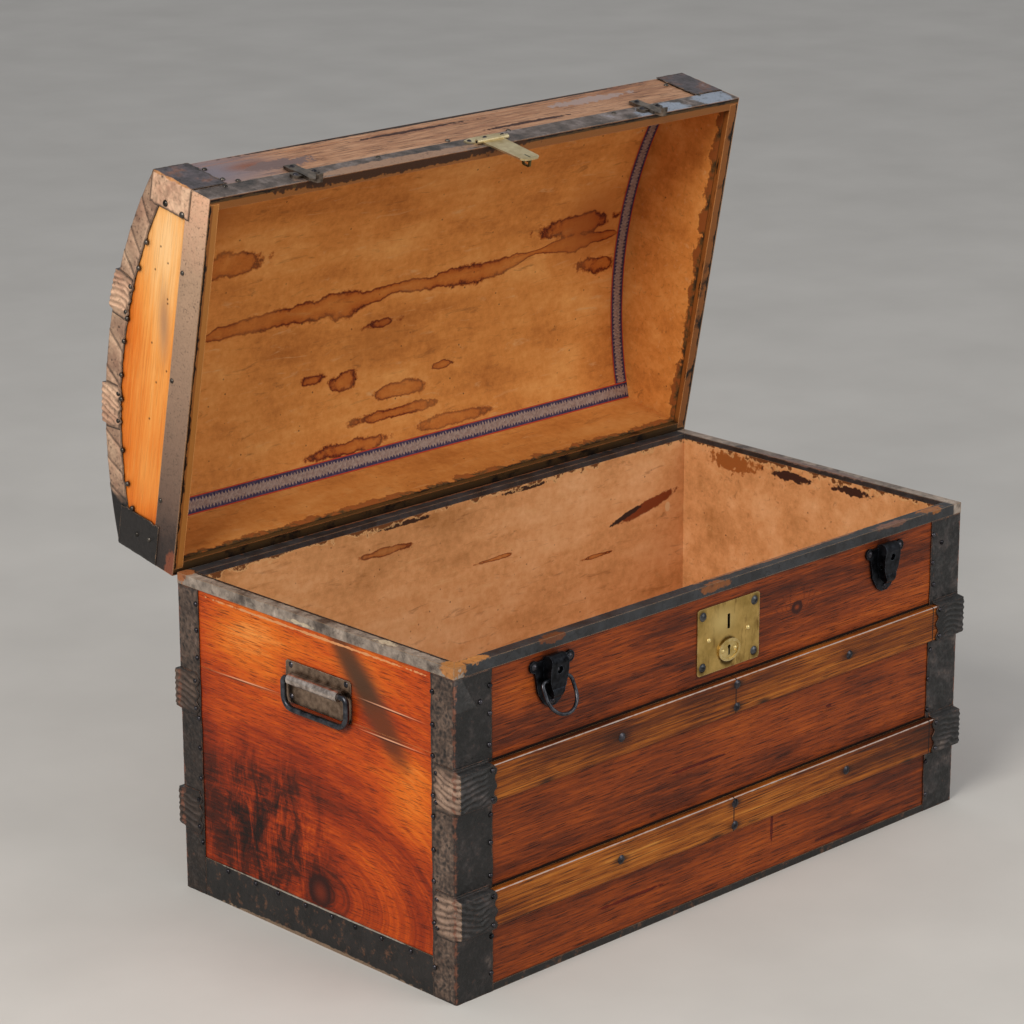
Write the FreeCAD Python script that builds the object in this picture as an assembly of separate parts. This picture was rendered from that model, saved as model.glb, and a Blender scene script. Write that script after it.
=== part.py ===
import FreeCAD, Part
import math
import os

# A dome top trunk: a nailed pine box and lid, oak slats, sheet iron bindings, a brass hasp
# lock, two side latches, drop handles and stop hinges.  Millimetres, +Z up, front towards -Y.
# The origin is the centre of the bottom face.  The lid is built closed and then swung open.

V = FreeCAD.Vector
X_AXIS = V(1, 0, 0)
Y_AXIS = V(0, 1, 0)
OUT_FRONT = V(0, -1, 0)
OUT_LEFT = V(-1, 0, 0)

# ---- driving dimensions: case
WIDTH = 860.0            # wooden case, left to right
DEPTH = 465.0            # wooden case, front to back
BOX_HEIGHT = 394.0       # floor to the top of the rim binding
BOARD = 14.0             # wall boards of the box and the lid
BOTTOM_BOARD = 12.0
BOTTOM_COUNT = 3
END_JOINT_Z = 288.0      # joint between the two boards of each end
LID_WALL = 99.5          # height of the lid's straight front and back walls
LID_OVERHANG = 4.5       # lid beyond the box at each end
DOME_RISE = 51.0         # dome above the lid walls
STAVE = 12.0             # thickness of the dome boards
STAVE_COUNT = 6
LID_GAP = 0.6            # closed lid above the box rim
LID_OPEN = 79.1          # degrees the lid stands open
PAPER = 0.8              # lining paper with its paste
TAPE_WIDTH = 22.0
TAPE = 0.5

# ---- driving dimensions: slats and sheet iron
SLAT_WIDTH = 44.0
SLAT_THICK = 10.0
UPPER_SLAT_Z = 251.0     # centre heights of the box slats
LOWER_SLAT_Z = 102.5
DOME_SLAT_THICK = 7.0
DOME_SLAT_YS = (-71.0, 71.0)    # centres of the dome slats from the middle
IRON = 0.8               # bindings
CLAMP_IRON = 1.0         # pressed slat clamps
FRONT_LEG = 56.0         # corner iron on the front and back
END_LEG = 36.0           # corner iron on the ends
RIM_LEG = 13.0           # rim binding down the outside
RIM_INNER_LEG = 7.0      # rim binding down the inside
BOTTOM_FRONT = 9.0       # bottom binding up the front and back
BOTTOM_END = 48.0        # bottom band up the ends
LID_BAND_FRONT = 30.0    # band along the lid's rim, front and back
LID_BAND_END = 38.0      # the same on the lid's ends
ARCH_BAND = 28.0         # curved band on the lid's ends

# ---- driving dimensions: hardware
LATCH_X = 284.0          # each latch from the middle of the front
LATCH_PLATE = 3.0
LATCH_PIVOT_OUT = 8.6    # ring pivot in front of the panel
LATCH_PIVOT_Z = 348.0
RING_WIRE_R = 2.2
RING_HALF = 22.6
RING_REACH = 40.5
RING_REST = 26.0         # degrees the ring hangs out from the panel
LOCK_X = 6.0             # the lock was nailed on a little right of the middle
LOCK_Z = 326.5
LOCK_W = 106.0
LOCK_H = 81.0
LOCK_PLATE = 1.2
SLOT_Z = 342.5           # middle of the staple's slot
KEYHOLE_Z = 308.0
CASE_HALF = 30.0
CASE_LOW = 297.0
CASE_HIGH = 356.0
CASE_DEEP = 11.4
HASP_AXIS_OUT = 4.3      # hasp pin in front of the lid's wall
HASP_AXIS_V = 9.0        # and above the lid's rim
HASP_R = 3.2
HASP_PIN_R = 1.5
HASP_ROOT = 17.5         # half width of the tongue at its barrel
HASP_TIP = 15.0
HASP_LENGTH = 70.0
HASP_HALF = 25.5
HASP_LEAF_HALF = 33.0
HANDLE_Y = -12.5         # handles sit a little forward of the middle
HANDLE_Z = 311.0
HANDLE_PLATE = 1.2
BARREL_R = 6.4
BARREL_HALF = 42.0
BAIL_R = 3.5
BAIL_HALF = 53.0         # centre of the bail's legs from its middle
BAIL_DROP = 36.0         # centre of the grip below the barrel
HINGE_XS = (-300.0, 0.0, 300.0)
HINGE_HALF = 24.0
HINGE_R = 3.2
HINGE_PIN_R = 1.6
HINGE_IN = 0.5           # hinge pins inside the back boards' outer face
HINGE_DROP = 4.95        # and below the lid's rim
HINGE_SEAT_R = 3.5       # seat cut for the barrels in the back
KNUCKLES = 5
LEAF = 1.5
LEAF_LONG = 40.0
FREE_FIT = 0.06          # radial clearance of a turning pin

# ---- sizes worked out from them
HALF_W = WIDTH / 2
HALF_D = DEPTH / 2
INNER_W = HALF_W - BOARD
INNER_D = HALF_D - BOARD
LID_HALF_W = HALF_W + LID_OVERHANG
LID_INNER_W = LID_HALF_W - BOARD
RABBET = BOARD / 2
WOOD_TOP = BOX_HEIGHT - IRON
RIM_Z = BOX_HEIGHT + LID_GAP
LID_WALL_TOP = RIM_Z + LID_WALL
DOME_R = (HALF_D ** 2 + DOME_RISE ** 2) / (2 * DOME_RISE)
DOME_INNER_R = DOME_R - STAVE
DOME_AXIS_Z = LID_WALL_TOP + DOME_RISE - DOME_R
HINGE_Y = HALF_D - HINGE_IN
HINGE_Z = RIM_Z - HINGE_DROP
HINGE_FACE = HALF_D + IRON
HASP_Y = -HALF_D - HASP_AXIS_OUT
HASP_Z = RIM_Z + HASP_AXIS_V
HASP_BACK = -HALF_D - 2.1
LATCH_Y = -HALF_D - LATCH_PIVOT_OUT
HANDLE_AXIS_X = -HALF_W - HANDLE_PLATE - 5.9
HANDLE_AXIS_Z = HANDLE_Z + 6.0
BEND = math.sqrt(0.5)    # where the middle of a quarter bend lies


# ---- shape helpers
def box(x0, x1, y0, y1, z0, z1):
    return Part.makeBox(x1 - x0, y1 - y0, z1 - z0, V(x0, y0, z0))


def rod_x(radius, x0, x1, y, z):
    return Part.makeCylinder(radius, x1 - x0, V(x0, y, z), X_AXIS)


def rod_y(radius, y0, y1, x, z):
    return Part.makeCylinder(radius, y1 - y0, V(x, y0, z), Y_AXIS)


def outline(points):
    return Part.Face(Part.makePolygon([V(*p) for p in points] + [V(*points[0])]))


def slab_x(yz_points, x0, x1):
    return outline([(x0, y, z) for y, z in yz_points]).extrude(V(x1 - x0, 0, 0))


def slab_y(xz_points, y0, y1):
    return outline([(x, y0, z) for x, z in xz_points]).extrude(V(0, y1 - y0, 0))


def slab_z(xy_points, z0, z1):
    return outline([(x, y, z0) for x, y in xy_points]).extrude(V(0, 0, z1 - z0))


def line(a, b):
    return Part.LineSegment(V(*a), V(*b)).toShape()


def arc(a, middle, b):
    return Part.Arc(V(*a), V(*middle), V(*b)).toShape()


def edges_face(edges):
    return Part.Face(Part.Wire(edges))


def swept_rod(radius, edges, start, direction):
    ring = Part.Wire(Part.makeCircle(radius, V(*start), V(*direction)))
    return Part.Wire(edges).makePipeShell([ring], True, False)


def mirror_x(shape):
    return shape.mirror(V(0, 0, 0), X_AXIS)


def mirror_y(shape):
    return shape.mirror(V(0, 0, 0), Y_AXIS)


def both_ends(shapes):
    return list(shapes) + [mirror_x(shape) for shape in shapes]


def moved_x(shape, dx):
    copy = shape.copy()
    copy.translate(V(dx, 0, 0))
    return copy


def turned_x(shape, y, z, degrees):
    copy = shape.copy()
    copy.rotate(V(0, y, z), X_AXIS, degrees)
    return copy


def fused(shape, *others):
    return shape.fuse(list(others)).removeSplitter()


def edges_at(shape, **place):
    """Edges whose middle lies at the coordinates given, for instance y=-5, z=20."""
    return [e for e in shape.Edges
            if all(abs(getattr(e.CenterOfMass, axis) - value) < 0.01 for axis, value in place.items())]


def save(name, *shapes):
    solids = [solid for shape in shapes for solid in shape.Solids]
    for solid in solids:
        if not solid.isValid():
            raise ValueError("invalid solid in " + name)
    body = solids[0] if len(solids) == 1 else Part.makeCompound(solids)
    body.exportStep("parts/" + name + ".step")
    print(f"{name:26s} {len(solids):3d} solids {body.Volume / 1000:9.1f} cm3")


def save_on_lid(name, *shapes):
    save(name, *[turned_x(shape, HINGE_Y, HINGE_Z, -LID_OPEN) for shape in shapes])


# ---- nails: a domed head sits at a point on a surface and its shank runs in behind it
class Nail:
    def __init__(self, head_r, head_h, shank_r, shank, point, out):
        self.head_r = head_r
        self.head_h = head_h
        self.shank_r = shank_r
        self.shank = shank
        self.point = V(*point)
        self.out = out

    def moved(self, dx):
        point = self.point + V(dx, 0, 0)
        return Nail(self.head_r, self.head_h, self.shank_r, self.shank, point, self.out)

    def solid(self):
        dome_r = (self.head_r ** 2 + self.head_h ** 2) / (2 * self.head_h)
        drop = dome_r - self.head_h
        rim = math.degrees(math.asin(drop / dome_r))
        point = 2 * self.shank_r
        up = V(0, 0, 1)
        head = Part.makeSphere(dome_r, V(0, 0, -drop), up, rim, 90, 360)
        shank = Part.makeCylinder(self.shank_r, self.shank - point, V(0, 0, point - self.shank), up)
        tip = Part.makeCone(self.shank_r * 0.2, self.shank_r, point, V(0, 0, -self.shank), up)
        solid = fused(head, shank, tip)
        solid.Placement = FreeCAD.Placement(self.point, FreeCAD.Rotation(up, self.out))
        return solid

    def hole(self):
        length = self.shank + 0.5
        return Part.makeCylinder(self.shank_r, length, self.point - self.out * length, self.out)


def drilled(shape, nails):
    return shape.cut([nail.hole() for nail in nails])


# ---- boards of the box
def box_wall():
    """The front board, rabbeted at both ends for the end boards."""
    wall = box(-HALF_W, HALF_W, -HALF_D, -INNER_D, 0, WOOD_TOP)
    for x in (-HALF_W, INNER_W):
        wall = wall.cut(box(x, x + BOARD, -HALF_D + RABBET, -INNER_D, 0, WOOD_TOP))
    return wall


def box_end():
    """The left end: two boards joined along their edges."""
    reach = HALF_D - RABBET
    lower = box(-HALF_W, -INNER_W, -reach, reach, 0, END_JOINT_Z)
    upper = box(-HALF_W, -INNER_W, -reach, reach, END_JOINT_Z, WOOD_TOP)
    return lower, upper


def bottom_boards():
    """Boards along the bottom, each with a tongue in its neighbour's groove."""
    tongue = 4.0
    wide = 2 * INNER_D / BOTTOM_COUNT
    z0 = (BOTTOM_BOARD - tongue) / 2
    boards = []
    for i in range(BOTTOM_COUNT):
        y0 = -INNER_D + i * wide
        board = box(-INNER_W, INNER_W, y0, y0 + wide, 0, BOTTOM_BOARD)
        if i > 0:
            board = fused(board, box(-INNER_W, INNER_W, y0 - tongue, y0, z0, z0 + tongue))
        if i < BOTTOM_COUNT - 1:
            board = board.cut(box(-INNER_W, INNER_W, y0 + wide - tongue, y0 + wide, z0, z0 + tongue))
        boards.append(board)
    return boards


def box_lining():
    top = BOX_HEIGHT - RIM_INNER_LEG
    w = INNER_W - PAPER
    d = INNER_D - PAPER
    outer = box(-INNER_W, INNER_W, -INNER_D, INNER_D, BOTTOM_BOARD, top)
    return outer.cut(box(-w, w, -d, d, BOTTOM_BOARD + PAPER, top + 1))


# ---- sheet iron on the box
def corner_iron():
    """The front left corner angle, from the floor to the rim binding."""
    x = -HALF_W - IRON
    y = -HALF_D - IRON
    top = BOX_HEIGHT - RIM_LEG
    front = box(x, x + FRONT_LEG, y, -HALF_D, 0, top)
    return fused(front, box(x, -HALF_W, y, -HALF_D + END_LEG, 0, top))


def rim_channel():
    """The channel that caps the box's rim all round, before it is mitred into four."""
    x = HALF_W + IRON
    y = HALF_D + IRON
    low = BOX_HEIGHT - RIM_LEG
    outer = box(-x, x, -y, y, low, BOX_HEIGHT)
    w = INNER_W - IRON
    d = INNER_D - IRON
    mouth = box(-w, w, -d, d, low, BOX_HEIGHT)
    well = box(-INNER_W, INNER_W, -INNER_D, INNER_D, low, BOX_HEIGHT - RIM_INNER_LEG)
    walls = box(-HALF_W, HALF_W, -HALF_D, HALF_D, low, WOOD_TOP)
    walls = walls.cut(box(-INNER_W, INNER_W, -INNER_D, INNER_D, low, WOOD_TOP))
    return outer.cut(mouth).cut(walls).cut(well)


def rim_bindings():
    """The front and left pieces of the rim channel, with 45 degree mitres."""
    channel = rim_channel()
    x = HALF_W + IRON
    y = HALF_D + IRON
    reach = 2 * BOARD
    front = [(-x, -y), (x, -y), (x - reach, -y + reach), (-x + reach, -y + reach)]
    left = [(-x, -y), (-x + reach, -y + reach), (-x + reach, y - reach), (-x, y)]
    return [channel.common(slab_z(points, 0, BOX_HEIGHT)) for points in (front, left)]


def bottom_binding():
    """The strip under the front, between the corner irons, with a lip under the boards."""
    half = HALF_W + IRON - FRONT_LEG
    leg = box(-half, half, -HALF_D - IRON, -HALF_D, 0, BOTTOM_FRONT)
    return fused(leg, box(-half, half, -HALF_D, -INNER_D - 2.0, 0, IRON))


def bottom_band():
    """The wider band along the foot of the left end."""
    half = HALF_D - END_LEG
    leg = box(-HALF_W - IRON, -HALF_W, -half, half, 0, BOTTOM_END)
    return fused(leg, box(-HALF_W, -INNER_W - 2.0, -half, half, 0, IRON))


# ---- box slats and the pressed clamps over their ends
def box_slat(z):
    x = HALF_W + IRON
    face = -HALF_D - SLAT_THICK
    slat = box(-x, x, face, -HALF_D, z - SLAT_WIDTH / 2, z + SLAT_WIDTH / 2)
    slat = slat.makeFillet(2.5, edges_at(slat, x=0, y=face))
    corner = corner_iron()
    return slat.cut([corner, mirror_x(corner)])


def slat_nails():
    places = [(-180.0, 0.0), (13.0, 14.0), (13.0, -14.0), (214.0, 0.0)]
    face = -HALF_D - SLAT_THICK
    return [Nail(5.5, 2.4, 1.5, 20.0, (x, face, z + dz), OUT_FRONT)
            for z in (UPPER_SLAT_Z, LOWER_SLAT_Z) for x, dz in places]


def scallop(x, y, z, axis):
    """Round bites either side of a point leave three lobes along a clamp's edge."""
    radius = 7.0
    pitch = 9.5
    return [Part.makeCylinder(radius, 10, V(x, y, z + side * pitch) - axis * 5, axis)
            for side in (-1, 1)]


def box_clamp(z):
    """The pressed cap over the front left end of a box slat."""
    half = SLAT_WIDTH / 2 + CLAMP_IRON
    low = z - half
    high = z + half
    face_y = -HALF_D - SLAT_THICK - CLAMP_IRON
    back_y = -HALF_D - IRON
    rear_y = -HALF_D + END_LEG
    end_x = -HALF_W - IRON - CLAMP_IRON
    inner_x = -HALF_W + 54.0
    shell = box(end_x, inner_x, face_y, back_y, low, high)
    hollow = box(end_x + CLAMP_IRON, inner_x, face_y + CLAMP_IRON, back_y,
                 low + CLAMP_IRON, high - CLAMP_IRON)
    wrap = box(end_x, end_x + CLAMP_IRON, back_y, rear_y, low, high)
    clamp = fused(shell.cut(hollow), wrap)
    clamp = clamp.makeFillet(1.5, edges_at(clamp, x=end_x, y=face_y))
    clamp = clamp.cut(scallop(inner_x + 3, face_y, z, Y_AXIS))
    return clamp.cut(scallop(end_x, rear_y + 3, z, X_AXIS))


# ---- handles
def handle_plate():
    """Left handle plate with the rolled barrel that the bail turns in."""
    outer = -HALF_W - HANDLE_PLATE
    low = HANDLE_Y - BARREL_HALF
    high = HANDLE_Y + BARREL_HALF
    plate = box(outer, -HALF_W, HANDLE_Y - 55, HANDLE_Y + 55, HANDLE_Z - 25, HANDLE_Z + 25)
    plate = plate.makeFillet(4.0, edges_at(plate, x=outer + HANDLE_PLATE / 2))
    barrel = rod_y(BARREL_R, low, high, HANDLE_AXIS_X, HANDLE_AXIS_Z)
    root = box(HANDLE_AXIS_X, outer, low, high, HANDLE_AXIS_Z - 2, HANDLE_AXIS_Z + BARREL_R)
    bore = rod_y(BAIL_R + FREE_FIT, low - 1, high + 1, HANDLE_AXIS_X, HANDLE_AXIS_Z)
    return fused(plate, barrel, root).cut(bore)


def handle_nails():
    return [Nail(3.6, 1.7, 1.3, 10.0, (-HALF_W - HANDLE_PLATE, HANDLE_Y + dy, HANDLE_Z + dz), OUT_LEFT)
            for dy in (-46.5, 46.5) for dz in (-18.0, 20.0)]


def handle_bail():
    """The drop bail: both ends turn inwards and sit in the barrel."""
    top_bend = 6.0
    low_bend = 15.0
    inside = BARREL_HALF - 14.0

    def at(dy, drop):
        return (HANDLE_AXIS_X, HANDLE_Y + dy, HANDLE_AXIS_Z - drop)

    def leg(side):
        top = side * (BAIL_HALF - top_bend)
        foot = side * (BAIL_HALF - low_bend)
        return [
            line(at(side * inside, 0), at(top, 0)),
            arc(at(top, 0), at(top + side * BEND * top_bend, top_bend - BEND * top_bend),
                at(side * BAIL_HALF, top_bend)),
            line(at(side * BAIL_HALF, top_bend), at(side * BAIL_HALF, BAIL_DROP - low_bend)),
            arc(at(side * BAIL_HALF, BAIL_DROP - low_bend),
                at(foot + side * BEND * low_bend, BAIL_DROP - low_bend + BEND * low_bend),
                at(foot, BAIL_DROP)),
        ]

    grip = line(at(-BAIL_HALF + low_bend, BAIL_DROP), at(BAIL_HALF - low_bend, BAIL_DROP))
    return swept_rod(BAIL_R, leg(-1) + [grip] + leg(1)[::-1], at(-inside, 0), (0, 1, 0))


# ---- side latches
def latch_casting():
    """One iron casting: a shield-shaped foot with two ears and a high nose over it."""
    y = -HALF_D
    foot = slab_y([(-30, 371), (30, 371), (25, 352), (22, 334), (13, 320), (5, 315),
                   (-5, 315), (-13, 320), (-22, 334), (-25, 352)], y - LATCH_PLATE, y)
    foot = fused(foot, *[rod_y(6.8, y - LATCH_PLATE, y, x, 366) for x in (-27.5, 27.5)])

    def side_at(out, z):
        return (-16, y - out, z)

    nose = edges_face([
        line(side_at(1, 336), side_at(1, 373)),
        arc(side_at(1, 373), side_at(11, 376), side_at(16, 366)),
        arc(side_at(16, 366), side_at(14.2, 349), side_at(13, 338)),
        arc(side_at(13, 338), side_at(13.2, 330), side_at(9.5, 326)),
        arc(side_at(9.5, 326), side_at(5.5, 329), side_at(1, 336)),
    ]).extrude(V(32, 0, 0))
    front = slab_y([(-12, 378), (12, 378), (14, 360), (13, 347), (9, 335), (6, 325),
                    (-6, 325), (-9, 335), (-13, 347), (-14, 360)], y - 20, y)
    casting = fused(foot, nose.common(front))
    recess = rod_y(4.4, y - 20, y - 11, 0, 360)
    pivot = rod_x(RING_WIRE_R + FREE_FIT, -20, 20, LATCH_Y, LATCH_PIVOT_Z)
    return drilled(casting.cut([recess, pivot]), latch_nails())


def latch_nails():
    """Two through the ears, one in the nose and one at the tip."""
    places = [(-27.5, 366, LATCH_PLATE), (27.5, 366, LATCH_PLATE), (0, 360, 11.0), (0, 320.5, LATCH_PLATE)]
    return [Nail(3.9, 2.2, 1.3, out + 8, (x, -HALF_D - out, z), OUT_FRONT) for x, z, out in places]


def latch_ring():
    """The wire ring that hooks over the catch on the lid."""
    bend = 7.0
    straight = RING_REACH - RING_HALF
    shoulder = RING_HALF - bend

    def at(dx, drop):
        return (dx, LATCH_Y, LATCH_PIVOT_Z - drop)

    def leg(side):
        return [
            line(at(side * 7, 0), at(side * shoulder, 0)),
            arc(at(side * shoulder, 0), at(side * (shoulder + BEND * bend), bend - BEND * bend),
                at(side * RING_HALF, bend)),
            line(at(side * RING_HALF, bend), at(side * RING_HALF, straight)),
        ]

    bow = arc(at(-RING_HALF, straight), at(0, RING_REACH), at(RING_HALF, straight))
    ring = swept_rod(RING_WIRE_R, leg(-1) + [bow] + leg(1)[::-1], at(-7, 0), (-1, 0, 0))
    return turned_x(ring, LATCH_Y, LATCH_PIVOT_Z, -RING_REST)


def latch_catch():
    """The cast catch on the lid: a nailed T foot and a short hook for the ring."""
    y = -HALF_D
    z = RIM_Z
    profile = [(y - 0.8, z + 43), (y - 0.8, z + 1), (y - 1.6, z), (y - 1.6, z - 12), (y - 12, z - 12),
               (y - 12, z - 9.5), (y - 5, z - 9.5), (y - 5.4, z + 10), (y - 5, z + 21), (y - 4, z + 30),
               (y - 4, z + 43)]
    front = [(-8, z + 43), (8, z + 43), (8, z - 2), (4, z - 12), (-4, z - 12), (-8, z - 2)]
    stem = slab_x(profile, -8, 8).common(slab_y(front, y - 20, y))
    bar = box(-20, 20, y - 4.4, y - IRON, z + 8, z + 21)
    bar = bar.makeFillet(5.0, edges_at(bar, y=y - (4.4 + IRON) / 2))
    return drilled(fused(stem, bar), catch_nails())


def catch_nails():
    places = [(-14.0, 14.5, 4.4), (14.0, 14.5, 4.4), (0.0, 37.0, 4.0)]
    return [Nail(3.4, 2.0, 1.2, out + 7, (x, -HALF_D - out, RIM_Z + v), OUT_FRONT) for x, v, out in places]


# ---- lock
def keyhole():
    y = -HALF_D
    eye = rod_y(2.4, y - 5, y + 1, LOCK_X, KEYHOLE_Z + 3.5)
    return eye.fuse(box(LOCK_X - 1.4, LOCK_X + 1.4, y - 5, y + 1, KEYHOLE_Z - 6.5, KEYHOLE_Z + 3))


def lock_plate():
    y = -HALF_D
    plate = box(LOCK_X - LOCK_W / 2, LOCK_X + LOCK_W / 2, y - LOCK_PLATE, y,
                LOCK_Z - LOCK_H / 2, LOCK_Z + LOCK_H / 2)
    plate = plate.makeFillet(4.0, edges_at(plate, y=y - LOCK_PLATE / 2))
    slot = box(LOCK_X - 2.2, LOCK_X + 2.2, y - 5, y + 1, SLOT_Z - 9.0, SLOT_Z + 9.0)
    return plate.cut([slot, keyhole()])


def escutcheon():
    """The raised oval round the keyhole, dished inside its rolled rim."""

    def oval(wide, high, out):
        y = -HALF_D - LOCK_PLATE - out
        ring = Part.Ellipse(V(LOCK_X, y, KEYHOLE_Z), wide / 2, high / 2).toShape()
        ring.rotate(V(LOCK_X, y, KEYHOLE_Z), X_AXIS, 90)
        return Part.Face(Part.Wire(ring)).extrude(V(0, -2.2, 0))

    return oval(36.0, 27.0, 0).cut([oval(31.0, 22.0, 1.2), keyhole()])


def lock_nails():
    """Domed nails in the plate's corners, rivets beside the slot, pins in the escutcheon."""
    y = -HALF_D - LOCK_PLATE
    corners = [Nail(5.6, 2.8, 1.4, 11.0, (LOCK_X + dx, y, LOCK_Z + dz), OUT_FRONT)
               for dx in (-44.0, 44.0) for dz in (-31.0, 31.0)]
    rivets = [Nail(3.2, 2.0, 1.2, 9.0, (LOCK_X + dx, y, LOCK_Z), OUT_FRONT) for dx in (-33.5, 33.5)]
    pins = [Nail(2.6, 1.6, 0.9, 2.2, (LOCK_X + dx, y - 1.2, KEYHOLE_Z), OUT_FRONT) for dx in (-10.5, 10.5)]
    return corners, rivets, pins


def lock_mortise():
    return box(LOCK_X - CASE_HALF, LOCK_X + CASE_HALF, -HALF_D, -HALF_D + CASE_DEEP, CASE_LOW, CASE_HIGH)


def lock_case():
    """The sheet box let into the panel behind the plate, with bolt guides and the key post."""
    y = -HALF_D
    back = y + CASE_DEEP - 1
    room = box(LOCK_X - CASE_HALF + 1, LOCK_X + CASE_HALF - 1, y, back, CASE_LOW + 1, CASE_HIGH - 1)
    window = box(LOCK_X - 9, LOCK_X + 9, y + 2.4, y + 6.3, SLOT_Z - 3.6, SLOT_Z + 3.6)
    guide = box(LOCK_X + 4, LOCK_X + 6.5, y + 0.4, back, SLOT_Z - 7, SLOT_Z + 7).cut(window)
    keeper = box(LOCK_X - 7.5, LOCK_X - 4.5, y + 0.4, back, SLOT_Z - 7, SLOT_Z + 7).cut(window)
    post = rod_y(1.4, y + 0.4, back, LOCK_X, KEYHOLE_Z + 3.5)
    return fused(lock_mortise().cut(room), guide, keeper, post)


def lock_bolt():
    """Withdrawn: its nose is just right of the slot, and the key throws it left by the talon."""
    nose = LOCK_X + 2.3
    y0 = -HALF_D + 2.75
    y1 = y0 + 3.2
    bar = box(nose, nose + 24, y0, y1, SLOT_Z - 3.3, SLOT_Z + 3.3)
    leg = box(nose + 12.7, nose + 24, y0, y1, SLOT_Z - 27, SLOT_Z - 3.3)
    talon = rod_y(3.6, y0 - 1, y1 + 1, nose + 18.4, SLOT_Z - 27)
    bolt = fused(bar, leg.cut(talon))
    return bolt.makeChamfer(0.8, edges_at(bolt, x=nose, y=(y0 + y1) / 2))


def lock_spring():
    """A bent strip under the case's top wall that bears on the bolt."""
    y = -HALF_D + 2.9
    high = CASE_HIGH - 1
    low = SLOT_Z + 3.45
    x0 = LOCK_X + 12.0
    x1 = LOCK_X + 28.0
    middle = (x0 + x1) / 2
    return edges_face([
        arc((x0, y, high), (middle, y, low), (x1, y, high)),
        line((x1, y, high), (x1 - 0.8, y, high)),
        arc((x1 - 0.8, y, high), (middle, y, low + 0.6), (x0 + 0.8, y, high)),
        line((x0 + 0.8, y, high), (x0, y, high)),
    ]).extrude(V(0, 3.0, 0))


# ---- hasp on the lid, built about X = 0 and then moved to the lock
def hasp_plate():
    """The brass leaf on the lid with the two outer knuckles."""
    y = -HALF_D - IRON
    z = RIM_Z
    wide = HASP_LEAF_HALF
    thick = 1.6
    leaf = slab_y([(-wide, z + 17), (-wide, z + 23), (-20, z + 27), (20, z + 27), (wide, z + 23),
                   (wide, z + 17), (HASP_HALF, z + 12.6), (-HASP_HALF, z + 12.6)], y - thick, y)
    knuckle = rod_x(HASP_R, HASP_ROOT + 0.35, HASP_HALF, HASP_Y, HASP_Z)
    web = box(HASP_ROOT + 0.35, HASP_HALF, y - thick, y, HASP_Z, z + 13)
    leaf = fused(leaf, *both_ends([knuckle, web]))
    bore = rod_x(HASP_PIN_R, -HASP_HALF, HASP_HALF, HASP_Y, HASP_Z)
    return drilled(leaf.cut(bore), hasp_rivets())


def hasp_rivets():
    return [Nail(3.0, 1.8, 1.3, 12.0, (x, -HALF_D - IRON - 1.6, RIM_Z + v), OUT_FRONT)
            for x, v in ((-27.5, 19.5), (0.0, 21.0), (27.5, 19.5))]


def hasp_tongue():
    """The brass tongue that hangs over the lock plate, with a heel that rests on the lid's band."""
    end = HASP_Z - HASP_LENGTH
    tip = HASP_TIP
    b = HASP_BACK
    face = edges_face([
        line((-HASP_ROOT, b, HASP_Z), (-tip, b, end + 7)),
        arc((-tip, b, end + 7), (-tip + 2.6, b, end + 2.1), (-tip + 8, b, end)),
        line((-tip + 8, b, end), (tip - 8, b, end)),
        arc((tip - 8, b, end), (tip - 2.6, b, end + 2.1), (tip, b, end + 7)),
        line((tip, b, end + 7), (HASP_ROOT, b, HASP_Z)),
        line((HASP_ROOT, b, HASP_Z), (-HASP_ROOT, b, HASP_Z)),
    ])
    heel = box(-HASP_ROOT + 1, HASP_ROOT - 1, -HALF_D - 2.1, -HALF_D - 0.95, RIM_Z + 1.5, RIM_Z + 6)
    barrel = rod_x(HASP_R, -HASP_ROOT, HASP_ROOT, HASP_Y, HASP_Z)
    tongue = fused(face.extrude(V(0, -2.2, 0)), barrel, heel)
    bore = rod_x(HASP_PIN_R + FREE_FIT, -HASP_ROOT, HASP_ROOT, HASP_Y, HASP_Z)
    return tongue.cut([bore, staple_shank()])


def staple_shank():
    return box(-1.3, 1.3, HASP_BACK - 2.2, HASP_BACK, SLOT_Z - 5, SLOT_Z + 5)


def hasp_staple():
    """The eye riveted through the tongue, which the bolt passes through."""
    b = HASP_BACK
    eye = slab_x([(b, SLOT_Z - 6.5), (b, SLOT_Z + 6.5), (b + 9, SLOT_Z + 6.5), (b + 10.5, SLOT_Z + 4.5),
                  (b + 10.5, SLOT_Z - 4.5), (b + 9, SLOT_Z - 6.5)], -1.3, 1.3)
    hole = box(-2, 2, b + 4.5, b + 8.4, SLOT_Z - 3.9, SLOT_Z + 3.9)
    return fused(staple_shank(), eye).cut(hole)


# ---- stop hinges on the back
def hinge_seat():
    """The groove in the back's top edge that a hinge's barrel turns in."""
    low = HINGE_Y - HINGE_SEAT_R
    high = HINGE_Y + HINGE_SEAT_R
    half = HINGE_HALF + 0.4
    groove = rod_x(HINGE_SEAT_R, -half, half, HINGE_Y, HINGE_Z)
    return groove.fuse(box(-half, half, low, high, HINGE_Z, WOOD_TOP))


def hinge_leaf(first, ends, webs):
    """A leaf between two heights, with every second knuckle and a web to each of them."""
    parts = [box(-HINGE_HALF, HINGE_HALF, HINGE_FACE, HINGE_FACE + LEAF, *ends)]
    width = 2 * HINGE_HALF / KNUCKLES
    for i in range(first, KNUCKLES, 2):
        x0 = -HINGE_HALF + i * width + 0.15
        x1 = x0 + width - 0.3
        parts.append(rod_x(HINGE_R, x0, x1, HINGE_Y, HINGE_Z))
        parts.append(box(x0, x1, HINGE_FACE + 0.3, HINGE_FACE + LEAF, *webs))
    return fused(*parts)


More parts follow.
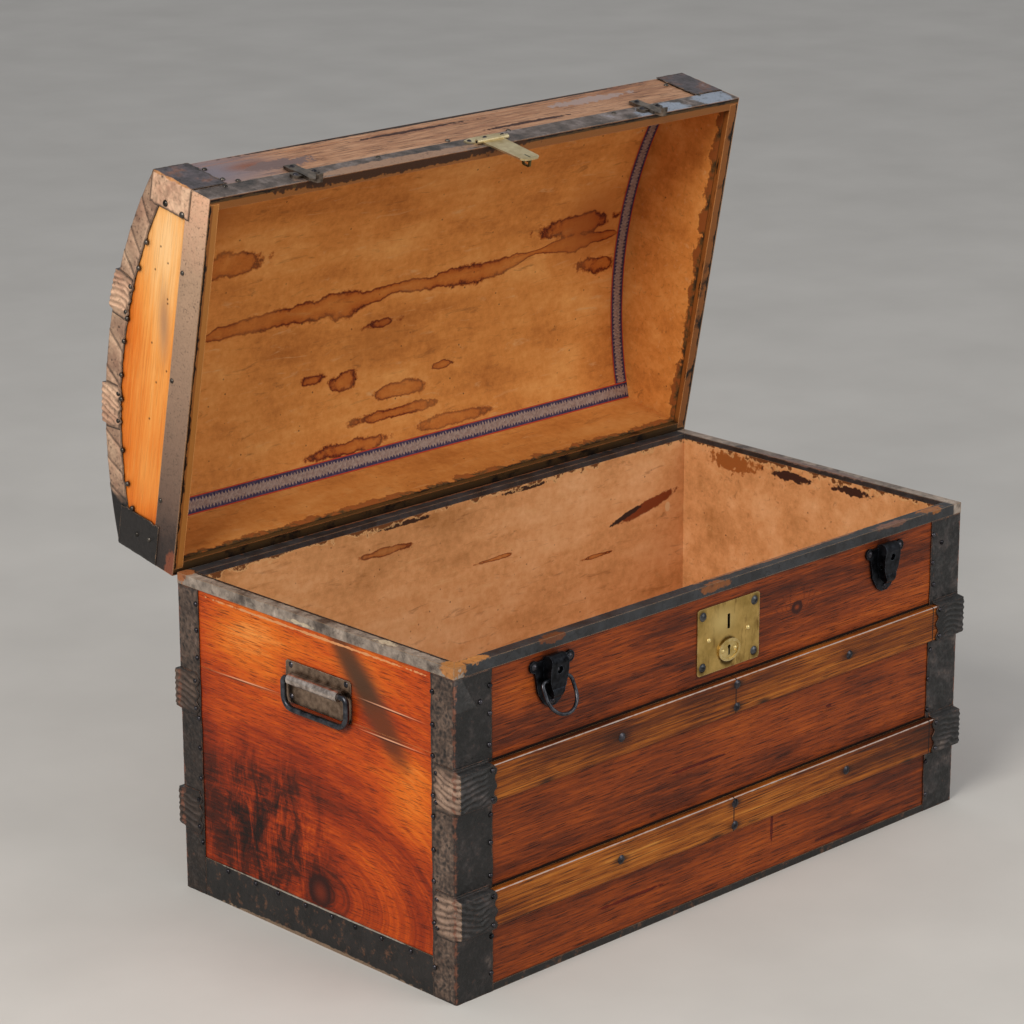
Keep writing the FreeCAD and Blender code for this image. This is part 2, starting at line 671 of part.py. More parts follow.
def open_leaf_face(along, gap):
    """A point under the upper leaf's face when the lid stands open, this far from the pin."""
    a = math.radians(LID_OPEN)
    off = HINGE_FACE + LEAF - HINGE_Y + gap
    y = HINGE_Y + off * math.cos(a) + along * math.sin(a)
    z = HINGE_Z - off * math.sin(a) + along * math.cos(a)
    return y, z


def stop_lug():
    """The bent lug on the lower leaf that the upper leaf rests on when the lid stands open."""
    y = HINGE_FACE + LEAF
    near_y, near_z = open_leaf_face(9.0, 0.08)
    far_y, far_z = open_leaf_face(20.0, 0.08)
    foot = HINGE_Z - 24.0
    return slab_x([(y, foot + 5), (y, foot), (far_y, far_z - 5), (far_y, far_z),
                   (near_y, near_z), (near_y, near_z - 8)], -HINGE_HALF + 2, HINGE_HALF - 2)


def hinge_lower():
    """The leaf on the box, its top edge just under the barrel."""
    top = HINGE_Z - HINGE_R - 0.5
    bore = rod_x(HINGE_PIN_R, -HINGE_HALF, HINGE_HALF, HINGE_Y, HINGE_Z)
    leaf = hinge_leaf(0, (HINGE_Z - LEAF_LONG, top), (top - 1, HINGE_Z))
    return fused(leaf, stop_lug()).cut(bore)


def hinge_upper():
    """The leaf on the lid, which ends flush with the lid's rim."""
    bore = rod_x(HINGE_PIN_R + FREE_FIT, -HINGE_HALF, HINGE_HALF, HINGE_Y, HINGE_Z)
    leaf = hinge_leaf(1, (RIM_Z, HINGE_Z + LEAF_LONG), (HINGE_Z, RIM_Z + 1))
    return leaf.cut(bore)


# ---- the dome
def ring_sector(r0, r1, angle, half_angle, x0, x1):
    """Part of a tube about the dome's own axis; the angle is from straight up, plus is rearward."""
    a0 = math.radians(angle - half_angle)
    a1 = math.radians(angle + half_angle)
    am = math.radians(angle)

    def at(radius, a):
        return (x0, radius * math.sin(a), DOME_AXIS_Z + radius * math.cos(a))

    face = edges_face([
        arc(at(r1, a0), at(r1, am), at(r1, a1)),
        line(at(r1, a1), at(r0, a1)),
        arc(at(r0, a1), at(r0, am), at(r0, a0)),
        line(at(r0, a0), at(r1, a0)),
    ])
    return face.extrude(V(x1 - x0, 0, 0))


def dome_rod(radius, x0, x1, half_depth):
    """The dome's cylinder, trimmed to a depth and kept above the lid's rim."""
    rod = rod_x(radius, x0, x1, 0, DOME_AXIS_Z)
    return rod.common(box(x0, x1, -half_depth, half_depth, RIM_Z, RIM_Z + 300))


def dome_tube(r0, r1, x0, x1, half_depth):
    return dome_rod(r1, x0, x1, half_depth).cut(rod_x(r0, x0 - 1, x1 + 1, 0, DOME_AXIS_Z))


def arc_degrees(length, radius):
    return math.degrees(length / radius)


def slat_angle(y):
    """The angle on the dome of a slat with its centre at this depth."""
    return math.degrees(math.asin(y / (DOME_R + DOME_SLAT_THICK / 2)))


def lid_wall():
    """The lid's front board, its top edge cut to the curve under the dome boards."""
    wall = box(-LID_HALF_W, LID_HALF_W, -HALF_D, -INNER_D, RIM_Z, LID_WALL_TOP)
    for x in (-LID_HALF_W, LID_INNER_W):
        wall = wall.cut(box(x, x + BOARD, -HALF_D + RABBET, -INNER_D, RIM_Z, LID_WALL_TOP))
    return wall.common(rod_x(DOME_INNER_R, -LID_HALF_W, LID_HALF_W, 0, DOME_AXIS_Z))


def lid_end():
    reach = HALF_D - RABBET
    end = box(-LID_HALF_W, -LID_INNER_W, -reach, reach, RIM_Z, LID_WALL_TOP + DOME_RISE)
    return end.common(rod_x(DOME_INNER_R, -LID_HALF_W, -LID_INNER_W, 0, DOME_AXIS_Z))


def dome_staves():
    half = math.degrees(math.asin(HALF_D / DOME_INNER_R)) + 0.3
    trim = box(-LID_HALF_W, LID_HALF_W, -HALF_D, HALF_D, RIM_Z, RIM_Z + 300)
    joint = arc_degrees(0.1, DOME_R)
    staves = []
    for i in range(STAVE_COUNT):
        angle = -half + (2 * i + 1) * half / STAVE_COUNT
        sector = ring_sector(DOME_INNER_R, DOME_R, angle, half / STAVE_COUNT - joint, -LID_HALF_W, LID_HALF_W)
        staves.append(sector.common(trim))
    return staves


def dome_slats():
    x = LID_HALF_W + IRON
    half = arc_degrees(SLAT_WIDTH / 2, DOME_R)
    bands = both_ends([arch_band()])
    return [ring_sector(DOME_R, DOME_R + DOME_SLAT_THICK, slat_angle(y), half, -x, x).cut(bands)
            for y in DOME_SLAT_YS]


def dome_clamp(slat_y):
    """The pressed cap over the left end of a dome slat, running down over the arch band."""
    half = SLAT_WIDTH / 2 + CLAMP_IRON
    top = DOME_R + DOME_SLAT_THICK
    low = DOME_R - ARCH_BAND - 4.0
    end_x = -LID_HALF_W - IRON - CLAMP_IRON
    inner_x = -LID_HALF_W + 50.0
    wide = arc_degrees(half, DOME_R)
    rim = arc_degrees(CLAMP_IRON / 2, DOME_R)
    cap = ring_sector(top, top + CLAMP_IRON, 0, wide, end_x, inner_x)
    sides = [ring_sector(DOME_R + IRON, top, side * (wide - rim), rim, end_x, inner_x) for side in (-1, 1)]
    end = ring_sector(low, top, 0, wide, end_x, end_x + CLAMP_IRON)
    clamp = fused(cap, end, *sides)
    for y in (-9.5, 9.5):
        clamp = clamp.cut(rod_x(7.0, end_x - 1, end_x + 3, y, DOME_AXIS_Z + low - 3))
        clamp = clamp.cut(Part.makeCylinder(7.0, 12, V(inner_x + 3, y, DOME_AXIS_Z + top - 5)))
    return turned_x(clamp, 0, DOME_AXIS_Z, -slat_angle(slat_y))


# ---- iron on the lid
def arch_band():
    """The curved band on the lid's left end, folded over the ends of the dome boards."""
    face = dome_tube(DOME_R - ARCH_BAND, DOME_R + IRON, -LID_HALF_W - IRON, -LID_HALF_W, HALF_D + IRON)
    return fused(face, dome_tube(DOME_R, DOME_R + IRON, -LID_HALF_W, -LID_HALF_W + 16, HALF_D))


def lid_corner():
    """The front left corner plate between the rim band and the arch band."""
    top = LID_WALL_TOP - 1
    x = -LID_HALF_W - IRON
    y = -HALF_D - IRON
    front = box(-LID_HALF_W, -LID_HALF_W + 50, y, -HALF_D, RIM_Z + LID_BAND_FRONT, top)
    end = box(x, -LID_HALF_W, y, -HALF_D + 42, RIM_Z + LID_BAND_END, top)
    return fused(front, end.common(rod_x(DOME_R - ARCH_BAND, x, -LID_HALF_W, 0, DOME_AXIS_Z)))


def lid_rim_bands(front_nails):
    x = LID_HALF_W + IRON
    y = HALF_D + IRON
    front = box(-LID_HALF_W, LID_HALF_W, -y, -HALF_D, RIM_Z, RIM_Z + LID_BAND_FRONT)
    left = box(-x, -LID_HALF_W, -y, y, RIM_Z, RIM_Z + LID_BAND_END)
    return [drilled(front, front_nails), mirror_y(front), left, mirror_x(left)]


# ---- paper and tape inside the lid
def lid_lining():
    outer = dome_rod(DOME_INNER_R, -LID_INNER_W, LID_INNER_W, INNER_D)
    inner = dome_rod(DOME_INNER_R - PAPER, -LID_INNER_W + PAPER, LID_INNER_W - PAPER, INNER_D - PAPER)
    bare = box(-LID_INNER_W, LID_INNER_W, -INNER_D, INNER_D, RIM_Z, RIM_Z + 8)
    return outer.cut([inner, bare])


def lid_tapes():
    """Woven tape on the dome beside all four seams."""
    r1 = DOME_INNER_R - PAPER
    r0 = r1 - TAPE
    w = LID_INNER_W - PAPER
    edge = math.degrees(math.asin((INNER_D - PAPER) / r1))
    wide = arc_degrees(TAPE_WIDTH, r1)
    seam = ring_sector(r0, r1, edge - wide / 2, wide / 2 - 0.02, -w, w)
    end = ring_sector(r0, r1, 0, edge - wide, -w, -w + TAPE_WIDTH)
    return [seam, mirror_y(seam), end, mirror_x(end)]


# ---- assembly
def save_slats():
    nails = slat_nails()
    slats = [drilled(box_slat(z), nails) for z in (UPPER_SLAT_Z, LOWER_SLAT_Z)]
    clamps = [box_clamp(z) for z in (UPPER_SLAT_Z, LOWER_SLAT_Z)]
    back_clamps = [mirror_y(clamp) for clamp in clamps]
    heads = [nail.solid() for nail in nails]
    save("front_slat_upper", slats[0])
    save("front_slat_lower", slats[1])
    save("back_slats", *[mirror_y(slat) for slat in slats])
    save("slat_nails", *heads, *[mirror_y(head) for head in heads])
    save("slat_clamps_front_left", *clamps)
    save("slat_clamps_front_right", *[mirror_x(clamp) for clamp in clamps])
    save("slat_clamps_back", *both_ends(back_clamps))
    return nails


def save_lock():
    corners, rivets, pins = lock_nails()
    nails = corners + rivets
    save("lock_plate", drilled(lock_plate(), nails + pins))
    save("lock_escutcheon", drilled(escutcheon(), pins))
    save("lock_case", drilled(lock_case(), pins))
    save("lock_bolt", lock_bolt())
    save("lock_spring", lock_spring())
    save("lock_nails", *[nail.solid() for nail in nails + pins])
    return nails


def save_latches():
    casting = latch_casting()
    save("latch_casting_left", moved_x(casting, -LATCH_X))
    save("latch_casting_right", moved_x(casting, LATCH_X))
    save("latch_ring_left", moved_x(latch_ring(), -LATCH_X))
    nails = [nail.moved(x) for x in (-LATCH_X, LATCH_X) for nail in latch_nails()]
    save("latch_nails", *[nail.solid() for nail in nails])
    return nails


def save_handles():
    nails = handle_nails()
    plate = drilled(handle_plate(), nails)
    bail = handle_bail()
    save("handle_plate_left", plate)
    save("handle_plate_right", mirror_x(plate))
    save("handle_bail_left", bail)
    save("handle_bail_right", mirror_x(bail))
    save("handle_nails", *both_ends([nail.solid() for nail in nails]))
    return nails


def save_box(front_nails, back_nails, end_nails):
    binding = bottom_binding()
    band = bottom_band()
    wall = box_wall().cut(binding)
    end = [drilled(board.cut(band), end_nails) for board in box_end()]
    save("front_panel", drilled(wall.cut(lock_mortise()), front_nails))
    seats = [moved_x(hinge_seat(), x) for x in HINGE_XS]
    save("back_panel", mirror_y(drilled(wall, back_nails)).cut(seats))
    save("end_panel_left", *end)
    save("end_panel_right", *[mirror_x(board) for board in end])
    save("bottom_boards", *bottom_boards())
    save("box_lining", box_lining())
    corner = corner_iron()
    save("corner_iron_front_left", corner)
    save("corner_iron_front_right", mirror_x(corner))
    save("corner_irons_back", *both_ends([mirror_y(corner)]))
    rim_front, rim_left = rim_bindings()
    save("rim_binding_front", rim_front)
    save("rim_binding_back", mirror_y(rim_front).cut(seats))
    save("rim_binding_left", rim_left)
    save("rim_binding_right", mirror_x(rim_left))
    save("bottom_bindings", binding, mirror_y(binding))
    save("bottom_band_left", band)
    save("bottom_band_right", mirror_x(band))


def save_hinges():
    lower = hinge_lower()
    upper = hinge_upper()
    pin = rod_x(HINGE_PIN_R, -HINGE_HALF, HINGE_HALF, HINGE_Y, HINGE_Z)
    save("hinge_leaves_lower", *[moved_x(lower, x) for x in HINGE_XS])
    save("hinge_pins", *[moved_x(pin, x) for x in HINGE_XS])
    save_on_lid("hinge_leaves_upper", *[moved_x(upper, x) for x in HINGE_XS])


def save_hasp():
    pin = rod_x(HASP_PIN_R, -HASP_HALF, HASP_HALF, HASP_Y, HASP_Z)
    save_on_lid("hasp_plate", moved_x(hasp_plate(), LOCK_X))
    save_on_lid("hasp_pin", moved_x(pin, LOCK_X))
    save_on_lid("hasp_tongue", moved_x(hasp_tongue(), LOCK_X))
    save_on_lid("hasp_staple", moved_x(hasp_staple(), LOCK_X))


def save_lid():
    nails = [nail.moved(x) for x in (-LATCH_X, LATCH_X) for nail in catch_nails()]
    nails += [rivet.moved(LOCK_X) for rivet in hasp_rivets()]
    wall = lid_wall()
    end = lid_end()
    arch = arch_band()
    corner = lid_corner()
    save_on_lid("lid_front_wall", drilled(wall, nails))
    save_on_lid("lid_back_wall", mirror_y(wall))
    save_on_lid("lid_end_left", end)
    save_on_lid("lid_end_right", mirror_x(end))
    save_on_lid("dome_staves", *dome_staves())
    save_on_lid("dome_slats", *dome_slats())
    save_on_lid("dome_slat_clamps", *both_ends([dome_clamp(y) for y in DOME_SLAT_YS]))
    save_on_lid("lid_arch_band_left", arch)
    save_on_lid("lid_arch_band_right", mirror_x(arch))
    save_on_lid("lid_rim_bands", *lid_rim_bands(nails))
    save_on_lid("lid_corner_plates", *both_ends([corner, mirror_y(corner)]))
    save_on_lid("lid_lining", lid_lining())
    save_on_lid("lid_tapes", *lid_tapes())
    save_on_lid("latch_catches", *[moved_x(latch_catch(), x) for x in (-LATCH_X, LATCH_X)])
    save_on_lid("lid_hardware_nails", *[nail.solid() for nail in nails])


os.makedirs("parts", exist_ok=True)
in_slats = save_slats()
in_lock = save_lock()
in_latches = save_latches()
in_handles = save_handles()
save_box(in_slats + in_lock + in_latches, in_slats, in_handles)
save_hinges()
save_hasp()
save_lid()
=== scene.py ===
import math
import random

import bmesh
import bpy
from mathutils import Matrix, Vector, noise


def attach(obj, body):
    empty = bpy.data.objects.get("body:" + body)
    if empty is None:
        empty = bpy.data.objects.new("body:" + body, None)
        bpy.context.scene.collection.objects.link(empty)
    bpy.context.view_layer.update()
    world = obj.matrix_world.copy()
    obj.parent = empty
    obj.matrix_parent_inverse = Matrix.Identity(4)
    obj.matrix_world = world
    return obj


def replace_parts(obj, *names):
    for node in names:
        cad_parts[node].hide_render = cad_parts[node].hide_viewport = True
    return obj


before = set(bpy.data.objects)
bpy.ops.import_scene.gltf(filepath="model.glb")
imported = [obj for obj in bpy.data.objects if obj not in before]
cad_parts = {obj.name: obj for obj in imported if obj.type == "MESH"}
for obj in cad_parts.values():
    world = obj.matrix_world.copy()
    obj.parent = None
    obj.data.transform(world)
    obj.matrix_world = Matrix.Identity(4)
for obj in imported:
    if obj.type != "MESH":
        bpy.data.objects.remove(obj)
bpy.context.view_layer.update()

# ---- Case boards
# Old pine boards, stained orange red and varnished, nailed at the corners. The front
# boards run left to right; each end is two boards with a knot low in the lower one.


def colour(code):
    """An sRGB hex colour as linear red, green, blue and alpha."""
    parts = [int(code[i:i + 2], 16) / 255 for i in (1, 3, 5)]
    return [c / 12.92 if c <= 0.04045 else ((c + 0.055) / 1.055) ** 2.4 for c in parts] + [1.0]


def add(tree, kind, links=None, stops=None, **settings):
    """Adds a shader node: settings are its properties, links feed its inputs, stops fill a ramp."""
    made = tree.nodes.new("ShaderNode" + kind)
    for key, value in settings.items():
        setattr(made, key, value)
    if stops:
        ramp = made.color_ramp
        for element, (position, code) in zip(ramp.elements, (stops[0], stops[-1])):
            element.position = position
            element.color = colour(code)
        for position, code in stops[1:-1]:
            ramp.elements.new(position).color = colour(code)
    for key, value in (links or {}).items():
        socket = made.inputs[key] if isinstance(key, int) else next(
            s for s in made.inputs if s.enabled and s.name == key)
        if isinstance(value, bpy.types.Node):
            value = next(s for s in value.outputs if s.enabled)
        if isinstance(value, bpy.types.NodeSocket):
            tree.links.new(value, socket)
        else:
            socket.default_value = value
    return made


def blank_material(name):
    """A material with nothing but a shader in it: the material, its node tree and that shader."""
    made = bpy.data.materials.new(name)
    made.use_nodes = True
    tree = made.node_tree
    tree.nodes.clear()
    shader = add(tree, "BsdfPrincipled")
    add(tree, "OutputMaterial", {"Surface": shader})
    return made, tree, shader


def case_point(tree):
    """The shaded point in millimetres."""
    coords = add(tree, "TexCoord").outputs["Object"]
    return add(tree, "VectorMath", {0: coords, "Scale": 1000.0}, operation="SCALE")


def reach(tree, point, centre, size, lean=0.0, axis="X_AXIS"):
    """Distance from centre as a share of size, both in mm; lean, in degrees, turns the oval."""
    away = add(tree, "VectorMath", {0: point, 1: centre}, operation="SUBTRACT")
    if lean:
        away = add(tree, "VectorRotate", {"Vector": away, "Angle": math.radians(-lean)},
                   rotation_type=axis)
    scaled = add(tree, "VectorMath", {0: away, 1: [1 / s for s in size]}, operation="MULTIPLY")
    return add(tree, "VectorMath", {0: scaled}, operation="LENGTH").outputs["Value"]


def spot(tree, point, centre, size):
    """1 at the centre of a soft oval spot, 0 outside it."""
    return add(tree, "MapRange", {"Value": reach(tree, point, centre, size), "From Min": 1.0,
                                  "From Max": 0.0}, interpolation_type="SMOOTHSTEP")


def patch(tree, point, under, centre, size, code, lean=0.0, ragged=0.0, mode="MIX", axis="X_AXIS"):
    """A coloured patch with a soft edge, or one torn into tongues 9 mm wide by a ragged edge."""
    field = reach(tree, point, centre, size, lean, axis)
    if ragged:
        tongues = add(tree, "TexNoise",
                      {"Vector": point, "Scale": 0.11, "Detail": 5.0, "Roughness": 0.65})
        field = add(tree, "Math", {0: tongues, 1: ragged, 2: field}, operation="MULTIPLY_ADD")
        mask = add(tree, "MapRange", {"Value": field, "From Min": 0.5 * ragged + 0.85,
                                      "From Max": 0.5 * ragged + 0.70})
    else:
        mask = add(tree, "MapRange", {"Value": field, "From Min": 1.0, "From Max": 0.0},
                   interpolation_type="SMOOTHSTEP")
    return add(tree, "Mix", {"Factor": mask, "A": under, "B": colour(code)}, data_type="RGBA",
               blend_type=mode)


def edge_wear(tree, radius, amount):
    """1 along the worn sharp edges of a piece, broken up into chips about 11 mm apart."""
    rounded = add(tree, "Bevel", {"Radius": radius}, samples=3)
    flat = add(tree, "NewGeometry").outputs["Normal"]
    cosine = add(tree, "VectorMath", {0: rounded, 1: flat},
                 operation="DOT_PRODUCT").outputs["Value"]
    chips = add(tree, "TexNoise", {"Vector": case_point(tree), "Scale": 0.09, "Detail": 4.0})
    threshold = add(tree, "MapRange", {"Value": chips, "From Min": 0.35, "From Max": 0.65,
                                       "To Min": 0.97 - 0.3 * amount, "To Max": 0.97})
    gap = add(tree, "Math", {0: threshold, 1: cosine}, operation="SUBTRACT")
    return add(tree, "MapRange", {"Value": gap, "From Min": 0.0, "From Max": 0.05})


def wood(name, stops, run, place=case_point, across=None, ring=8.0, tones=(), knots=(),
         gloss=0.40, worn="#A8683A", lines=0.5, pores=0.85, flame=None, marks=None):
    """A stained and varnished board. run squeezes its figure along the grain, across gives the
    height over curling grain, ring is the spacing of the dark growth lines in mm and lines their
    strength. Areas by centre and size in mm are lighter or darker in tones, ringed in knots and
    licked by upright tongues of stain in flame. gloss is the varnish's roughness, worn the colour
    of its rubbed edges, and marks adds what only this board has."""
    made, tree, shader = blank_material(name)
    point = place(tree)
    cross = across(tree, point) if across else add(tree, "SeparateXYZ", {0: point}).outputs["Z"]
    along = add(tree, "VectorMath", {0: point, 1: run}, operation="MULTIPLY")
    # Figure by its size across the grain: lines wander over 60 mm, clouds are 110 mm, bands 50 mm
    # and streaks 4 mm wide. Real pores would not show, so they are drawn 1.2 mm apart.
    wander = add(tree, "TexNoise",
                 {"Vector": along, "Scale": 0.016, "Detail": 3.0, "Roughness": 0.45})
    phase = add(tree, "Math", {0: wander, 1: 7.0}, operation="MULTIPLY")
    phase = add(tree, "Math", {0: cross, 1: 1 / ring, 2: phase}, operation="MULTIPLY_ADD")
    if across:
        along = add(tree, "CombineXYZ",
                    {"X": cross, "Y": add(tree, "SeparateXYZ", {0: along}).outputs["Y"]})
    clouds = add(tree, "TexNoise",
                 {"Vector": point, "Scale": 0.009, "Detail": 3.0, "Roughness": 0.5})
    broad = add(tree, "TexNoise", {"Vector": along, "Scale": 0.02, "Detail": 5.0, "Roughness": 0.6})
    streaks = add(tree, "TexNoise", {"Vector": along, "Scale": 0.26, "Detail": 4.0,
                                     "Roughness": 0.65, "Distortion": 0.4})
    tone = add(tree, "Math", {0: broad, 1: 0.40}, operation="MULTIPLY")
    tone = add(tree, "Math", {0: clouds, 1: 0.18, 2: tone}, operation="MULTIPLY_ADD")
    tone = add(tree, "Math", {0: streaks, 1: 0.34, 2: tone}, operation="MULTIPLY_ADD")
    tone = add(tree, "Math", {0: tone, 1: 0.04}, operation="ADD")
    if flame:
        upright = add(tree, "VectorMath", {0: point, 1: (1.0, 1.3, 0.5)}, operation="MULTIPLY")
        licks = add(tree, "TexNoise", {"Vector": upright, "Scale": 0.035, "Detail": 6.0,
                                       "Roughness": 0.75, "Distortion": 0.9})
        where = add(tree, "Math", {0: spot(tree, point, *flame[:2]), 1: flame[2]},
                    operation="MULTIPLY")
        licks = add(tree, "Math", {0: licks, 1: 0.52}, operation="SUBTRACT")
        tone = add(tree, "Math", {0: licks, 1: where, 2: tone}, operation="MULTIPLY_ADD")
    for centre, size, amount in knots:
        heart = spot(tree, point, centre, [3.0 * s for s in size])
        phase = add(tree, "Math", {0: heart, 1: 4.0, 2: phase}, operation="MULTIPLY_ADD")
        core = spot(tree, point, centre, size)
        tone = add(tree, "Math", {0: core, 1: amount, 2: tone}, operation="MULTIPLY_ADD")
    for centre, size, amount in tones:
        area = spot(tree, point, centre, size)
        tone = add(tree, "Math", {0: area, 1: amount, 2: tone}, operation="MULTIPLY_ADD")
    saw = add(tree, "Math", {0: phase, 1: 0.5}, operation="PINGPONG")
    late = add(tree, "MapRange", {"Value": saw, "From Min": 0.32, "From Max": 0.5})
    shown = add(tree, "MapRange", {"Value": streaks, "From Min": 0.38, "From Max": 0.62})
    late = add(tree, "Math", {0: late, 1: shown}, operation="MULTIPLY")
    fine = add(tree, "VectorMath", {0: point, 1: [0.5 * r if r < 1 else r for r in run]},
               operation="MULTIPLY")
    fibre = add(tree, "TexNoise", {"Vector": fine, "Scale": 0.8, "Detail": 3.0, "Roughness": 0.7})
    pore = add(tree, "MapRange", {"Value": fibre, "From Min": 0.53, "From Max": 0.62})
    base = add(tree, "ValToRGB", {0: tone}, stops=stops)
    line_mask = add(tree, "Math", {0: late, 1: lines}, operation="MULTIPLY")
    lined = add(tree, "Mix", {"Factor": line_mask, "A": base, "B": colour("#6A3418")},
                data_type="RGBA", blend_type="MULTIPLY")
    pore_mask = add(tree, "Math", {0: pore, 1: pores}, operation="MULTIPLY")
    pored = add(tree, "Mix", {"Factor": pore_mask, "A": lined, "B": colour("#40200F")},
                data_type="RGBA", blend_type="MULTIPLY")
    if marks:
        pored = marks(tree, point, pored)
    rubbed = add(tree, "Mix", {"Factor": edge_wear(tree, 0.0018, 0.6), "A": pored,
                               "B": colour(worn)}, data_type="RGBA")
    # Painted shade: the colour darkens where the AO node finds the board hemmed in, in corners and
    # beside the slats and bands on it.
    corner = add(tree, "AmbientOcclusion", {"Distance": 0.009}, samples=4).outputs["AO"]
    corner_shade_mask = add(tree, "MapRange",
                {"Value": corner, "From Min": 0.95, "From Max": 0.40, "To Max": 0.9})
    corner_shaded = add(tree, "Mix", {"Factor": corner_shade_mask, "A": rubbed, "B": colour("#180C08")},
                data_type="RGBA")
    tree.links.new(corner_shaded.outputs[2], shader.inputs["Base Color"])
    rough = add(tree, "MapRange",
                {"Value": streaks, "To Min": gloss - 0.08, "To Max": gloss + 0.18})
    tree.links.new(rough.outputs[0], shader.inputs["Roughness"])
    shader.inputs["Specular IOR Level"].default_value = 0.22
    height = add(tree, "Math", {0: late, 1: 0.4, 2: pore}, operation="MULTIPLY_ADD")
    relief = add(tree, "Bump", {"Height": height, "Strength": 0.3, "Distance": 0.0004}, invert=True)
    tree.links.new(relief.outputs[0], shader.inputs["Normal"])
    return made


def coat(made, *names):
    """Gives CAD nodes their finish."""
    for name in names:
        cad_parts[name].data.materials[0] = made


FRONT = -232.5                   # outer face of the front boards, in mm like every number below
LEFT_END = -430.0                # outer face of the left end
SLAT_HEIGHTS = (251.0, 102.5)    # middles of the two front slats

# Varnished pine, stained red brown; the dark pores and growth lines run left to right.
PINE = [(0.34, "#34140A"), (0.43, "#66290C"), (0.50, "#903E10"), (0.58, "#AC5014"),
        (0.70, "#CC7026")]


def front_marks(tree, point, shade):
    """A small dark knot, a few long scratches, and a painted shadow line along each slat's edges.
    """
    shade = patch(tree, point, shade, (127.0, FRONT, 330.0), (13.0, 20.0, 10.0), "#3A140A",
                  ragged=0.5)
    shade = patch(tree, point, shade, (127.0, FRONT, 330.0), (6.0, 20.0, 4.5), "#8A3A12")
    for x, z, wide, tall in ((-40.0, 178.0, 60.0, 2.5), (190.0, 190.0, 7.0, 3.0),
                             (90.0, 60.0, 3.0, 30.0), (-150.0, 45.0, 70.0, 3.0),
                             (240.0, 20.0, 90.0, 3.0)):
        shade = patch(tree, point, shade, (x, FRONT, z), (wide, 20.0, tall), "#A8705A", ragged=1.2,
                      mode="MULTIPLY")
    # Painted shadow: a dark line on the board where each slat's top and bottom edges meet it.
    for height in SLAT_HEIGHTS:
        for z in (height + 23.4, height - 22.4):
            shade = patch(tree, point, shade, (0.0, FRONT, z), (3000.0, 20.0, 2.4), "#160906",
                          ragged=0.7)
    return shade


front_boards = wood("varnished_pine_front", PINE, (0.06, 1.0, 1.0), ring=8.0, lines=0.55,
                    tones=[((-330.0, FRONT, 330.0), (80.0, 40.0, 40.0), 0.05),
                           ((60.0, FRONT, 200.0), (150.0, 40.0, 40.0), 0.05),
                           ((300.0, FRONT, 50.0), (260.0, 40.0, 60.0), -0.11)],
                    knots=[((127.0, FRONT, 330.0), (14.0, 20.0, 11.0), -0.12)], marks=front_marks)
coat(front_boards, "front_panel", "back_panel")

# The left end is the same varnished pine with the stain at its most vivid: glowing orange above and
# flamed to near black low at the back. Its upper back is lighter partly as a painted highlight.
FLAMED = [(0.18, "#1C0803"), (0.32, "#501804"), (0.44, "#942E04"), (0.55, "#C04A08"),
          (0.68, "#DC6C16"), (0.86, "#F29E4C")]


def round_the_knot(tree, point):
    """Grain height on the left end: level at the back, curling in front round the heart of the low
    knot, at y -5.5 and z 68."""
    axes = add(tree, "SeparateXYZ", {0: point})
    ahead = add(tree, "Math", {0: -5.5, 1: axes.outputs["Y"]}, operation="SUBTRACT")
    ahead = add(tree, "Math", {0: ahead, 1: 0.0}, operation="MAXIMUM")
    ahead = add(tree, "Math", {0: ahead, 1: 0.55}, operation="MULTIPLY")
    above = add(tree, "Math", {0: axes.outputs["Z"], 1: 68.0}, operation="SUBTRACT")
    both = add(tree, "CombineXYZ", {"X": ahead, "Y": above})
    return add(tree, "VectorMath", {0: both}, operation="LENGTH").outputs["Value"]


def left_end_marks(tree, point, shade):
    """A slanting burn, pale cracks each side of the handle, a rubbed line at the rim, the knot."""
    for y, z, long, wide, code in ((-58.0, 366.0, 40.0, 11.0, "#683616"),
                                   (-90.0, 332.0, 58.0, 15.0, "#4E3220"),
                                   (-126.0, 288.0, 44.0, 12.0, "#683014")):
        shade = patch(tree, point, shade, (LEFT_END, y, z), (40.0, 1.2 * long, 1.7 * wide), code,
                      lean=46.0)
        shade = patch(tree, point, shade, (LEFT_END, y, z), (40.0, 1.5 * long, 2.4 * wide), code,
                      lean=46.0)
    for y, z, long, lean in ((-131.0, 320.0, 66.0, 1.0), (-131.0, 284.0, 66.0, 0.5),
                             (118.0, 289.0, 74.0, -1.5)):
        shade = patch(tree, point, shade, (LEFT_END, y, z - 1.4), (40.0, long, 1.6), "#3A120A",
                      lean=lean)
        shade = patch(tree, point, shade, (LEFT_END, y, z), (40.0, long, 1.3), "#E8A884", lean=lean)
    shade = patch(tree, point, shade, (LEFT_END, 0.0, 375.0), (40.0, 210.0, 1.8), "#D2905E",
                  ragged=2.4)
    knot = patch(tree, point, shade, (LEFT_END, -7.0, 70.0), (40.0, 34.0, 36.0), "#6A2A14",
                 mode="MULTIPLY")
    knot = patch(tree, point, knot, (LEFT_END, -7.0, 68.0), (40.0, 25.0, 25.0), "#2E0E08",
                 ragged=0.5)
    return patch(tree, point, knot, (LEFT_END, -8.0, 66.0), (40.0, 17.0, 18.0), "#6A240E")


